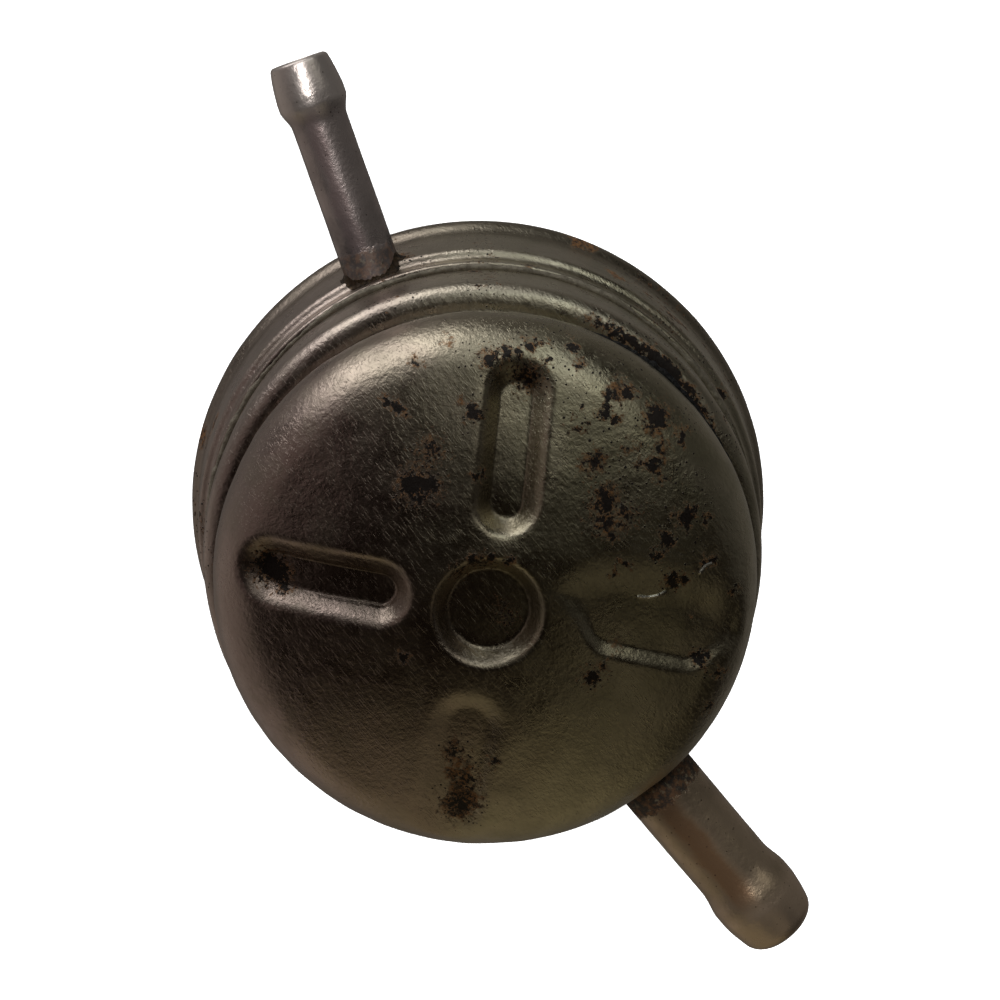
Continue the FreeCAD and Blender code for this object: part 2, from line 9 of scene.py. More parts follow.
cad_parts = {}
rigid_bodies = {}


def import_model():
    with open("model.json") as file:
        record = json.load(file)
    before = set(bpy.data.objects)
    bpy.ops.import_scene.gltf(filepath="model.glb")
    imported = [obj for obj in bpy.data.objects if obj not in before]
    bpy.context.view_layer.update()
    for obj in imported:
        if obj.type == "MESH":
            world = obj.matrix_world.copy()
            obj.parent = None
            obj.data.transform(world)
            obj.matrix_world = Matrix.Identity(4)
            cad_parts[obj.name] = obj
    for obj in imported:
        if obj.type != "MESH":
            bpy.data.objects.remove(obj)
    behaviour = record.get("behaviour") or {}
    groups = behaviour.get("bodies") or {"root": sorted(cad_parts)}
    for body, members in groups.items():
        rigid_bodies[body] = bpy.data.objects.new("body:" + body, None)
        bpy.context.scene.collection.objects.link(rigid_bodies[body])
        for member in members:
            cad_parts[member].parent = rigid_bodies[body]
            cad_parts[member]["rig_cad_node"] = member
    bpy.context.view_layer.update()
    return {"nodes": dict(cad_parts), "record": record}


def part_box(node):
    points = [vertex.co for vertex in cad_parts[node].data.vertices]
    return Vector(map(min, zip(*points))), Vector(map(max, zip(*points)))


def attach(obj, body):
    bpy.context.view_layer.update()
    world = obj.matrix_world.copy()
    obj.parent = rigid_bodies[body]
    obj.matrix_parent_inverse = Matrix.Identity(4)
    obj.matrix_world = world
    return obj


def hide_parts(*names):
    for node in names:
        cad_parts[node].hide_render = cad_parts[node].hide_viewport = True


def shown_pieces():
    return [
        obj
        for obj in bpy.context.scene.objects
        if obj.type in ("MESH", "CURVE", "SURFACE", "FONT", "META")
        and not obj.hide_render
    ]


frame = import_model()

# An old sealed steel fuel filter lying on its flat bottom. Lengths in the tables below are in
# millimetres and angles in degrees, in the CAD frame: +Z up through the cover, +X along the
# outlet tube. A direction "across" the cover is measured from +X, turning left.

MM = 0.001
mounts = {mount["name"]: mount for mount in frame["record"]["mounts"]}


def size_of(node):
    """Lowest and highest corner of a CAD node in millimetres."""
    low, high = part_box(node)
    return np.array(low) / MM, np.array(high) / MM


# ---- sizes

SHEET = 0.8
BODY_LOW, BODY_HIGH = size_of("body_shell")
REAR_HIGH = size_of("rear_shell")[1]

# The cover is a dome, a bend that ends upright, a short skirt and a hem rolled under the flange.
COVER_RADIUS = size_of("front_cover")[1][0]
SKIRT = 0.6
COVER_PLANE = BODY_HIGH[2] + SKIRT
COVER_RISE = 12.9
COVER_TOP = COVER_PLANE + COVER_RISE
COVER_BEND = 8.55
BEND_CENTRE = COVER_RADIUS - COVER_BEND
DOME_RADIUS = (COVER_RADIUS**2 + COVER_RISE**2 - 2 * COVER_BEND * COVER_RADIUS) / (
    2 * (COVER_RISE - COVER_BEND)
)
DOME_CENTRE = COVER_TOP - DOME_RADIUS
DOME_TILT = math.degrees(math.asin(BEND_CENTRE / (DOME_RADIUS - COVER_BEND)))
HEM_RADIUS = 1.6
NECK_RADIUS = COVER_RADIUS - HEM_RADIUS
HEM_TOP = COVER_PLANE - SKIRT

WALL_RADIUS = BODY_HIGH[0]
WALL_TOP = 27.9
SHOULDER_RADIUS = 2.2
NECK_FILLET = 1.0
BODY_FOOT = BODY_LOW[2]

# The rear shell's lip laps the wall, a step joins it to the wider side, and the rim juts out.
RIM_RADIUS = REAR_HIGH[0]
RIM_CORNER = 2.6
RIM_EDGE = RIM_RADIUS - RIM_CORNER
RIM_REACH = 1.1
FOOT_RADIUS = RIM_RADIUS - RIM_REACH
LIP_RADIUS = WALL_RADIUS + SHEET
LIP_TOP = REAR_HIGH[2]
LIP_LENGTH = 2.45
LIP_FOOT = LIP_TOP - LIP_LENGTH
LIP_STEP = 1.0
REAR_HEAD = LIP_FOOT - LIP_STEP * math.sqrt(3)
# Ring pressed into the bottom: inner radius, outer radius, height, width of its slopes.
GROOVE = (16.0, 22.0, 1.0, 1.2)

# Angle of the cross of slots, and the half-widths of the hollows at their lips and at their
# floors, with their depths.
RIB_TURN = 41.1
SLOT_LIP, SLOT_FLOOR, SLOT_DEPTH = 3.9, 1.5, 2.0
DIMPLE_LIP, DIMPLE_FLOOR, DIMPLE_DEPTH = 5.75, 4.1, 2.1

TURNS = 640
FULL_TURN = 2 * math.pi

# ---- mesh making


def smooth(t):
    """Smooth step from 0 to 1."""
    t = np.clip(t, 0.0, 1.0)
    return t * t * (3 - 2 * t)


def polar(r, angle):
    """Point (x, y) at a distance from the can's axis and an angle."""
    turn = math.radians(angle)
    return np.array([math.cos(turn), math.sin(turn)]) * r


def arc(middle_r, middle_z, radius, start, stop, steps):
    """Points (r, z) on an arc between two angles."""
    angles = np.radians(np.linspace(start, stop, steps + 1))
    return [(middle_r + radius * math.cos(a), middle_z + radius * math.sin(a)) for a in angles]


def swept(r, z, angles):
    """Points at distances r from the Z axis and heights z, at each of the angles round it."""
    points = np.stack([r * np.cos(angles), r * np.sin(angles), z + 0 * angles], -1)
    return points.reshape(-1, 3)


def spaced(outline, gap):
    """A closed outline with extra points so that none of its sides is longer than gap."""
    result = []
    for i, start in enumerate(outline):
        end = outline[(i + 1) % len(outline)]
        count = max(1, math.ceil(math.dist(start, end) / gap))
        for k in range(count):
            share = k / count
            result.append(tuple(a + (b - a) * share for a, b in zip(start, end)))
    return result


def waves(points, size, seed, count=9):
    """Soft random unevenness, between about -1 and 1, of features about this size in mm."""
    random = np.random.default_rng(seed)
    total = np.zeros(len(points))
    for _ in range(count):
        direction = random.normal(size=3)
        direction /= np.linalg.norm(direction)
        wave = 2 * math.pi / (size * random.uniform(0.7, 1.6))
        total += np.sin(points @ direction * wave + random.uniform(0, FULL_TURN))
    return total / math.sqrt(count)


def grid_faces(rows, columns, ring_rows):
    """Quads of a grid that closes on itself round its columns, and over its rows if asked."""
    down = np.arange(rows if ring_rows else rows - 1)
    row, column = np.meshgrid(down, np.arange(columns), indexing="ij")
    below, beside = (row + 1) % rows, (column + 1) % columns
    corners = [row * columns + column, row * columns + beside]
    corners += [below * columns + beside, below * columns + column]
    return np.stack(corners, -1).reshape(-1, 4).tolist()


def make_piece(name, points, faces, place=None):
    """A smooth mesh object from points in mm, with all its faces turned outward."""
    mesh = bpy.data.meshes.new(name)
    mesh.from_pydata((np.asarray(points) * MM).tolist(), [], faces)
    work = bmesh.new()
    work.from_mesh(mesh)
    bmesh.ops.recalc_face_normals(work, faces=work.faces)
    work.to_mesh(mesh)
    work.free()
    if place:
        mesh.transform(place)
    mesh.shade_smooth()
    piece = bpy.data.objects.new(name, mesh)
    bpy.context.scene.collection.objects.link(piece)
    return piece


def lathe(name, outline, turns=TURNS, warp=None, place=None):
    """Closed outline (r, z) turned about Z, each point moved by warp(points)."""
    angles = np.linspace(0, FULL_TURN, turns, endpoint=False)
    outline = np.array(outline)
    points = swept(outline[:, :1], outline[:, 1:], angles)
    if warp:
        points = warp(points)
    return make_piece(name, points, grid_faces(len(outline), turns, True), place)


def outward(points):
    """Unit vectors pointing away from the Z axis."""
    flat = points * (1, 1, 0)
    return flat / np.maximum(np.linalg.norm(flat, axis=1), 1e-9)[:, None]


def cut_hole(piece, radius, start, stop, place):
    """Round hole through a piece, along the local Z axis of a placement."""
    core = 0.02
    outline = [(core, start), (radius, start), (radius, stop), (core, stop)]
    drill = lathe("drill", outline, 128, None, place)
    cut = piece.modifiers.new("hole", "BOOLEAN")
    cut.object = drill
    cut.operation = "DIFFERENCE"
    cut.solver = "EXACT"
    view = bpy.context.evaluated_depsgraph_get()
    mesh = bpy.data.meshes.new_from_object(piece.evaluated_get(view))
    piece.modifiers.clear()
    piece.data = mesh
    bpy.data.objects.remove(drill)
    mesh.shade_smooth()
    mesh.set_sharp_from_angle(angle=math.radians(35))


def points_of(piece):
    """The piece's vertices in mm."""
    points = np.empty(len(piece.data.vertices) * 3)
    piece.data.vertices.foreach_get("co", points)
    return points.reshape(-1, 3) / MM


def mark(piece, name, spots, seen=(1, 1, 1), reach=3.0):
    """Store at each vertex how far it is outside the nearest spot (x, y, z, radius), in mm, up
    to a reach. Seen is 0 for a direction in which distance doesn't count."""
    points = points_of(piece)
    gap = np.full(len(points), reach)
    for x, y, z, radius in spots:
        away = (points - (x, y, z)) * seen
        gap = np.minimum(gap, np.linalg.norm(away, axis=1) - radius)
    store(piece, name, gap)


def scratch_gaps(piece):
    """Store each vertex's distance from the nearest scratch with a painted glint, up to 1 mm."""
    flat = points_of(piece)[:, :2]
    gap = np.full(len(flat), 1.0)
    for ends in SCRATCHES:
        start, end = [polar(r, angle) for r, angle in ends]
        along = end - start
        share = np.clip((flat - start) @ along / (along @ along), 0, 1)
        gap = np.minimum(gap, np.linalg.norm(flat - start - share[:, None] * along, axis=1))
    store(piece, "scratch_gap", gap)


def spread_rust(piece, zones, base):
    """Store how rusty each vertex is, from base to 1: zones are (x, y, z, radius), z ignored."""
    points = points_of(piece)
    rust = np.full(len(points), base)
    for x, y, _, radius in zones:
        away = np.hypot(points[:, 0] - x, points[:, 1] - y)
        rust = np.maximum(rust, np.exp(-((away / radius) ** 2)))
    store(piece, "rust_zone", rust)


def store(piece, name, values):
    """Store one number at each vertex."""
    layer = piece.data.attributes.new(name, "FLOAT", "POINT")
    layer.data.foreach_set("value", np.asarray(values).astype(np.float32))


# ---- spots on the metal

# Black spots of rust on the cover, and the stains round them: distance from the can's axis,
# angle, radius.
DARK_SPOTS = [
    (23.8, 140, 0.75), (24.4, 136, 0.35), (24.6, 134, 0.3), (25.3, 131, 0.4), (26.1, 122, 0.4),
    (24.9, 120, 0.35), (24.4, 157, 0.25), (21.3, 165, 0.5), (20.9, 164, 0.35), (22.1, 167, 0.22),
    (19.0, 145, 0.72), (14.2, 170, 1.0), (13.4, 166, 0.8), (14.6, 174, 0.6), (12.9, 171, 0.5),
    (17.0, 160, 0.3), (13.2, 145, 0.42), (23.6, 111, 0.5), (24.6, 107, 0.65), (22.0, 110, 0.55),
    (21.9, 106, 0.35), (24.2, 98, 0.95), (25.0, 91, 0.55), (24.6, 90, 0.3), (22.5, 93, 0.35),
    (20.2, 100, 0.35), (17.4, 105, 0.55), (21.0, 91, 0.65), (20.7, 88, 0.35), (21.1, 74, 0.95),
    (22.9, 71, 0.35), (18.7, 71, 0.5), (17.3, 68, 0.45), (13.7, 69, 0.35), (12.9, 66, 0.25),
    (18.2, 58, 0.6), (19.2, 57.5, 0.45), (22.0, 61, 0.5), (9.5, -101, 0.4), (12.0, 17, 0.6),
    (12.6, 15, 0.4), (12.4, 24, 0.35), (21.9, 35, 0.62), (24.3, 32, 0.5), (25.0, 23, 0.35),
    (24.3, 52, 0.35), (15.8, -38, 0.35), (21.4, -46, 0.45), (21.6, -138, 1.1), (20.6, -137, 0.9),
    (20.1, -134, 0.6), (5.5, 139, 0.5), (5.6, 120, 0.35), (5.6, 158, 0.4), (15.2, 92, 0.4),
    (14.4, 86, 0.4), (16.2, 87, 0.45), (15.8, 96, 0.3), (13.9, 82, 0.25),
]
STAIN_SPOTS = [
    (25.5, 149, 0.5), (23.9, 141, 1.0), (17.0, 160, 0.9), (16.2, 157, 0.7), (14.4, 170, 1.6),
    (24.2, 98, 1.6), (24.4, 109, 1.3), (22.6, 92, 1.0), (17.4, 105, 1.4), (20.2, 100, 0.9),
    (15.6, 94, 1.6), (14.5, 86, 1.5), (21.0, 90, 1.1), (21.1, 74, 1.5), (18.7, 71, 1.0),
    (17.3, 68, 0.9), (22.0, 61, 0.8), (12.0, 18, 1.1), (21.9, 35, 0.9), (21.4, -47, 1.9),
    (18.4, -47, 1.3), (16.6, -50, 0.9), (14.5, -53, 0.8), (20.6, -137, 1.5), (20.1, 46, 0.5),
    (13.0, 33.7, 0.4), (17.4, -49, 1.3), (20.2, -46, 2.0), (19.0, 145, 0.9), (20.0, 148, 0.5),
    (22.4, 131, 1.4),
]
# Clusters of fine black or brown speckle: distance from the axis, angle, radius.
CLUSTERS = [
    (14.0, 170, 1.9), (13.2, 165, 1.2), (15.6, 165, 1.0), (16.4, 160, 1.3), (21.5, -138, 1.9),
    (20.3, -136, 1.2), (15.4, 94, 1.5), (14.2, 88, 1.4), (16.2, 84, 1.1), (17.4, 105, 1.0),
    (22.4, 131, 1.6), (23.8, 139, 1.0), (21.0, -47, 1.7), (18.2, -46, 1.2), (5.2, 150, 0.9),
    (4.9, 175, 0.8), (12.2, 18, 0.9), (24.4, 99, 1.0), (18.4, 58, 0.8), (15.2, -52, 0.9),
    (2.0, 25, 0.9), (1.1, 60, 0.5),
]
# Where freckles of rust are thick: distance from the axis, angle, radius.
RUST_ZONES = [
    (24.5, 128, 3.6), (23.5, 142, 2.6), (23.5, 108, 4.6), (21.0, 95, 4.2), (15.5, 94, 3.0),
    (21.0, 73, 3.4), (18.0, 62, 2.4), (16.0, 162, 2.8), (14.0, 170, 2.8), (20.5, -47, 3.2),
    (15.5, -50, 2.4), (12.2, 18, 1.6), (22.5, 34, 2.0), (19.0, 145, 2.0), (5.6, 140, 1.8),
    (20.8, -137, 2.2), (20.0, 115, 3.0), (22.0, 84, 3.4), (18.0, 82, 3.0), (24.5, 92, 2.6),
]
# Raised scratches with a painted glint: from and to, each as distance from the axis and angle.
SCRATCHES = [
    ((14.7, 54.0), (15.7, 53.2)), ((15.7, 53.2), (16.6, 53.4)), ((16.6, 53.4), (17.3, 54.4)),
    ((21.0, 58.4), (21.6, 59.9)), ((21.6, 59.9), (22.2, 60.1)),
]
# Rusty zones of the can's sides: distance from the axis, angle, height, which isn't used, radius.
SIDE_ZONES = [
    (31, 100, 0, 7), (31, 80, 0, 4), (30, 140, 0, 3), (31, 160, 0, 4), (31, 20, 0, 5),
    (31, -60, 0, 6), (31, 230, 0, 5),
]
# Spots on the can's sides: distance from the axis, angle, height, radius.
SIDE_SPOTS = [
    (29.3, 142, 20.0, 0.5), (30.1, 131, 17.2, 0.4), (30.1, 81, 14.9, 0.7), (31.1, 99, 11.0, 0.6),
    (31.2, 95, 9.6, 0.45), (31.3, 88, 6.0, 0.5), (30.3, 71, 13.4, 0.5), (31.3, 104, 9.2, 0.5),
    (31.2, 60, 9.0, 0.8), (31.3, 30, 8.0, 0.7), (29.3, -40, 22.0, 0.6), (31.2, -70, 11.0, 0.9),
    (29.3, -120, 24.0, 0.5), (31.4, -150, 8.5, 0.7), (29.3, 200, 21.0, 0.5), (29.3, 64, 24.5, 0.6),
]
# Old tar on the shoulder, under the part of the cover's edge where the sealer came out.
TAR = [(27.75, angle, 29.95, 0.85 - 0.035 * abs(angle - 101)) for angle in range(82, 121)]
# Stains on the sides: distance from the axis, angle, height, radius.
SIDE_STAINS = [
    (29.3, 142, 20.0, 0.9), (30.1, 131, 17.2, 0.8), (31.3, 112, 10.0, 1.8), (31.1, 99, 11.0, 1.3),
    (31.2, 95, 9.6, 1.2), (30.1, 81, 14.9, 1.1), (31.1, 159, 12.5, 2.6), (31.1, 163, 8.8, 1.6),
    (29.3, 8, 26.0, 2.4), (29.3, -10, 24.0, 2.2), (31.2, 60, 9.0, 2.0), (31.2, -70, 11.0, 2.4),
    (29.3, -120, 24.0, 1.6), (31.4, -150, 8.5, 1.9), (29.3, 64, 24.5, 1.8), (31.3, 30, 8.0, 1.6),
    (32.6, 120, 3.0, 2.0), (32.6, -30, 3.0, 2.4), (32.6, 215, 3.0, 1.8),
]


def on_side(spots):
    """The centres of spots given with a height, as (x, y, z, radius)."""
    return [(*polar(r, angle), z, radius) for r, angle, z, radius in spots]


def on_cover(spots):
    """The centres of spots that lie on the dome, as (x, y, z, radius)."""
    heights = [DOME_CENTRE + math.sqrt(DOME_RADIUS**2 - r**2) for r, _, _ in spots]
    return on_side([(r, angle, z, radius) for (r, angle, radius), z in zip(spots, heights)])


# ---- front cover


def slot_gap(x, y, turn, inner, outer, lean, gentle):
    """Distance from a slot's middle line, which runs outward at an angle, and how far along
    it the nearest point lies. Gentle widens the wall on the line's left."""
    start, end = polar(inner, turn), polar(outer, turn + lean)
    along = end - start
    away_x, away_y = x - start[0], y - start[1]
    share = np.clip((away_x * along[0] + away_y * along[1]) / (along @ along), 0, 1)
    side = (along[0] * away_y - along[1] * away_x) / math.hypot(*along)
    gap = np.hypot(away_x - along[0] * share, away_y - along[1] * share)
    return gap * (1 - gentle * smooth(0.5 + side / 5)), share


# Turn, inner end, outer end, lean, width, depth, how crisp the floor's edge is and how gentle
# the left wall is, slot by slot.
SLOTS = [
    (RIB_TURN, 12.4, 20.6, -3.0, 0.84, 0.42, 0.1, 0.6),
    (RIB_TURN + 90, 10.9, 21.0, 1.5, 0.98, 0.92, 0.3, 0.0),
    (RIB_TURN + 180, 11.0, 21.4, 1.0, 1.0, 1.0, 0.8, 0.0),
    (RIB_TURN + 270, 12.0, 22.0, -0.5, 1.10, 0.31, 0.1, 0.0),
]
# Small dents: distance from the axis, angle, radius, depth.
DENTS = [
    (8.9, 131, 1.9, 0.30), (21.5, 47, 1.5, 0.15), (20.5, 131, 4.0, 0.12), (14.5, -140, 3.0, 0.08),
    (20.5, 150, 2.2, 0.06), (17.5, 112, 1.8, 0.05), (24.0, 84, 2.4, 0.08), (22.6, 58, 1.3, 0.12),
    (15.5, -10, 2.6, 0.05), (20.0, -80, 3.0, 0.06), (12.0, 190, 2.4, 0.05), (24.5, 15, 2.2, 0.07),
    (18.3, 55, 0.7, 0.16), (24.0, -110, 2.5, 0.06), (10.0, 105, 1.6, 0.05), (25.0, 128, 1.8, 0.08),
]


def bell(away, width):
    """1 where away is 0, falling off over a width."""
    return np.exp(-((away / width) ** 2))


def press_depth(x, y):
    """How deep the cover is pressed in at a point, and how much of a hollow's edge lies there."""
    depth = np.zeros_like(x)
    edge = np.zeros_like(x)
    swell = np.zeros_like(x)
    for turn, inner, outer, lean, width, share, crisp, gentle in SLOTS:
        gap, along = slot_gap(x, y, turn, inner, outer, lean, gentle)
        lip, floor = SLOT_LIP * width, SLOT_FLOOR * width
        soft = smooth((lip - gap) / (lip - floor))
        steep = smooth((floor + 0.55 - gap) / 0.6)
        step = 0.22 * crisp
        press = (1 - step) * soft**1.25 + step * steep
        # the floor dips towards the can's middle, where the end wall is steepest
        press *= 1 - 0.16 * crisp * along
        depth += SLOT_DEPTH * share * press
        edge = np.maximum(edge, bell(gap - floor - 0.2, 0.35) * (0.25 + 0.75 * crisp))
        swell += 0.02 * bell(gap - lip - 0.4, 0.9)
    r = np.hypot(x, y)
    bowl = smooth((DIMPLE_LIP - r) / (DIMPLE_LIP - DIMPLE_FLOOR))
    depth += DIMPLE_DEPTH * (0.85 * bowl**1.2 + 0.15 * smooth((DIMPLE_FLOOR + 0.45 - r) / 0.5))
    edge = np.maximum(edge, bell(r - DIMPLE_FLOOR - 0.05, 0.3))
    swell += 0.015 * bell(r - DIMPLE_LIP - 0.4, 0.8)
    for at, angle, radius, deep in DENTS:
        dent_x, dent_y = polar(at, angle)
        depth += deep * bell(np.hypot(x - dent_x, y - dent_y), radius)
    return depth - swell * (depth < 0.3), edge


def cover_rows():
    """The cover's outside from its top to its rolled edge: r, z and the normal's tilt."""
    rows = []

    def follow(middle_r, middle_z, radius, start, stop, count):
        for tilt in np.linspace(start, stop, count)[1:]:
            a = math.radians(tilt)
            rows.append((middle_r + radius * math.sin(a), middle_z + radius * math.cos(a), tilt))

    follow(0.0, DOME_CENTRE, DOME_RADIUS, 0, DOME_TILT, 112)
    follow(BEND_CENTRE, COVER_PLANE, COVER_BEND, DOME_TILT, 90, 44)
    rows += [(COVER_RADIUS, z, 90.0) for z in (COVER_PLANE - 0.5 * SKIRT, HEM_TOP)]
    follow(NECK_RADIUS, HEM_TOP, HEM_RADIUS, 90, 180, 12)
    return np.array(rows)


def make_cover():
    """The pressed cover: an outside and an inside that follow each other one sheet apart."""
    rows = cover_rows()
    angles = np.linspace(0, FULL_TURN, TURNS, endpoint=False)
    r, z, tilt = rows[:, :1], rows[:, 1:2], np.radians(rows[:, 2:])
    ring = swept(r, z, angles)
    normal = swept(np.sin(tilt), np.cos(tilt), angles)
    depth, edge = press_depth(ring[:, 0], ring[:, 1])
    # the hollows fade out before the skirt
    within = smooth((26.2 - np.hypot(ring[:, 0], ring[:, 1])) / 1.5)
    depth = depth * within
    # unevenness only ever takes metal away, so the cover stays inside its CAD box
    uneven = 0.035 * waves(ring, 11, 3) + 0.012 * waves(ring, 3.2, 4)
    uneven = np.minimum(uneven - 0.03, 0) * 1.2
    outside = ring - normal * depth[:, None] + normal * uneven[:, None]
    rolled = 0.05 * waves(ring, 6, 9) * smooth((COVER_PLANE + 2 - ring[:, 2]) / 2)
    outside -= outward(ring) * np.abs(rolled)[:, None]
    inside = outside - normal * SHEET
    # the inside needs only every third row
    keep = np.arange(0, len(rows), 3)
    if keep[-1] != len(rows) - 1:
        keep = np.append(keep, len(rows) - 1)
    inside = inside.reshape(len(rows), TURNS, 3)[keep][::-1].reshape(-1, 3)
    points = np.concatenate([outside, inside])
    count = len(points) // TURNS
    faces = grid_faces(count, TURNS, False)
    top, under = len(points), len(points) + 1
    bowl_floor = COVER_TOP - DIMPLE_DEPTH
    poles = [[0, 0, bowl_floor - 0.05], [0, 0, bowl_floor - SHEET]]
    points = np.concatenate([points, poles])
    last = (count - 1) * TURNS
    for i in range(TURNS):
        after = (i + 1) % TURNS
        faces.append([top, i, after])
        faces.append([under, last + after, last + i])
    piece = make_piece("cover_pressing", points, faces)
    spread = np.zeros(len(points))
    spread[: len(depth)] = edge * within
    store(piece, "hollow_edge", spread)
    from_above = (1, 1, 0)
    for name, spots in (("dark_spots", DARK_SPOTS), ("stains", STAIN_SPOTS), ("clusters", CLUSTERS)):
        mark(piece, name, on_cover(spots), from_above)
    spread_rust(piece, on_cover(RUST_ZONES), 0.08)
    scratch_gaps(piece)
    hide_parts("front_cover")
    return piece


# ---- can


def body_outline():
    """Section of the body shell, with its wall, shoulder, neck and flange."""
    edge = WALL_RADIUS - SHOULDER_RADIUS
    fillet_r = NECK_RADIUS + NECK_FILLET
    fillet_z = WALL_TOP + SHOULDER_RADIUS + NECK_FILLET
    outline = [(WALL_RADIUS - SHEET, BODY_FOOT), (WALL_RADIUS, BODY_FOOT)]
    outline += arc(edge, WALL_TOP, SHOULDER_RADIUS, 0, 90, 16)
    outline += arc(fillet_r, fillet_z, NECK_FILLET, -90, -180, 8)
    outline += arc(NECK_RADIUS, HEM_TOP, HEM_RADIUS - SHEET - 0.06, -90, 0, 6)
    outline += [(NECK_RADIUS - SHEET, HEM_TOP)]
    outline += arc(fillet_r, fillet_z, NECK_FILLET + SHEET, 180, 270, 8)
    outline += arc(edge, WALL_TOP, SHOULDER_RADIUS - SHEET, 90, 0, 10)
    return outline


def rear_outside():
    """Outside of the rear shell from the bottom's edge up to the lip, as (r, z)."""
    gap = FOOT_RADIUS + RIM_CORNER - RIM_EDGE
    lift = math.sqrt(4 * RIM_CORNER**2 - gap**2)
    turn = math.degrees(math.atan2(lift, gap))
    outline = arc(RIM_EDGE, RIM_CORNER, RIM_CORNER, -90, turn, 22)
    outline += arc(FOOT_RADIUS + RIM_CORNER, RIM_CORNER + lift, RIM_CORNER, 180 + turn, 180, 8)
    outline += arc(LIP_RADIUS, REAR_HEAD, LIP_STEP, 0, 60, 6)
    outline += arc(LIP_RADIUS + LIP_STEP, LIP_FOOT, LIP_STEP, 240, 180, 6)
    outline += arc(LIP_RADIUS - 0.5, LIP_TOP - 0.5, 0.5, 0, 90, 6)
    return outline


def rear_inside():
    """Inside of the rear shell from the lip down to the bottom's edge."""
    clear = WALL_RADIUS + 0.02
    outline = [(clear, LIP_TOP), (clear, LIP_FOOT), (LIP_RADIUS + LIP_STEP - SHEET, REAR_HEAD)]
    outline += [(FOOT_RADIUS - SHEET, 2 * RIM_CORNER)]
    outline += arc(RIM_EDGE, RIM_CORNER, RIM_CORNER - SHEET, 20, -90, 10)
    return outline


def bottom_outline(lift):
    """The bottom from its edge to its middle, with the pressed ring."""
    inner, outer, deep, slope = GROOVE
    line = []
    for r in np.linspace(RIM_EDGE - 0.5, 0.05, 90):
        ring = smooth((r - inner) / slope) * smooth((outer - r) / slope)
        line.append((r, lift + deep * ring))
    return line


def shell_warp(seed, amount):
    """Moves points in and out a little, as on an old pressed can."""

    def warp(points):
        uneven = waves(points, 22, seed) + 0.35 * waves(points, 5, seed + 1)
        return points - outward(points) * (amount * np.clip(1 + uneven, 0, 2))[:, None]

    return warp


def tube_matrix(which):
    """Placement whose Z runs out along a tube from the can's axis, and the tube's own sizes."""
    barb = mounts[which + "_barb"]
    bore = mounts[which + "_bore"]
    axis = Vector(barb["axis"])
    spot = Vector(barb["pos_m"])
    start = spot - axis * spot.dot(axis)
    turn = axis.to_track_quat("Z", "Y").to_matrix().to_4x4()
    barb_at = spot.dot(axis) / MM
    bore_at = Vector(bore["pos_m"]).dot(axis) / MM
    half = bore["dims"]["length_mm"] / 2
    return Matrix.Translation(start) @ turn, {
        "bore": bore["dims"]["r_mm"],
        "barb": barb["dims"]["r_mm"],
        "land": barb["dims"]["length_mm"],
        "barb_at": barb_at,
        "root": bore_at - half,
        "reach": bore_at + half,
    }


def tube_axes(which):
    """A tube's own direction, and the level direction on its left."""
    axis = np.array(mounts[which + "_barb"]["axis"])
    return axis, np.array([-axis[1], axis[0], 0.0])


TUBES = {"outlet": tube_matrix("outlet"), "inlet": tube_matrix("inlet")}
# Plain radius, radius at the end before it is rounded, rounding of the end, and length of the
# slope behind the barb.
TUBE_SHAPES = {"outlet": (4.35, 4.35, 2.3, 3.6), "inlet": (3.1, 3.25, 0.55, 2.2)}


def make_can():
    """Both shells of the can, each with its tube's hole."""
    outline = spaced(body_outline(), 0.8)
    body = lathe("body_pressing", outline, TURNS, shell_warp(11, 0.03))
    outline = rear_outside() + rear_inside() + bottom_outline(SHEET)[1:]
    outline += bottom_outline(0.0)[::-1][:-1]
    outline = spaced(outline, 0.9)
    rear = lathe("rear_pressing", outline, TURNS, shell_warp(21, 0.035))
    for which, piece in (("outlet", body), ("inlet", rear)):
        place, sizes = TUBES[which]
        plain = TUBE_SHAPES[which][0]
        cut_hole(piece, plain - 0.03, sizes["root"] - 4, WALL_RADIUS + 6, place)
    for piece, node in ((body, "body_shell"), (rear, "rear_shell")):
        mark(piece, "dark_spots", on_side(SIDE_SPOTS + TAR))
        mark(piece, "stains", on_side(SIDE_STAINS))
        spread_rust(piece, on_side(SIDE_ZONES), 0.2)
        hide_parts(node)
    return body, rear


# ---- tubes, braze and solder


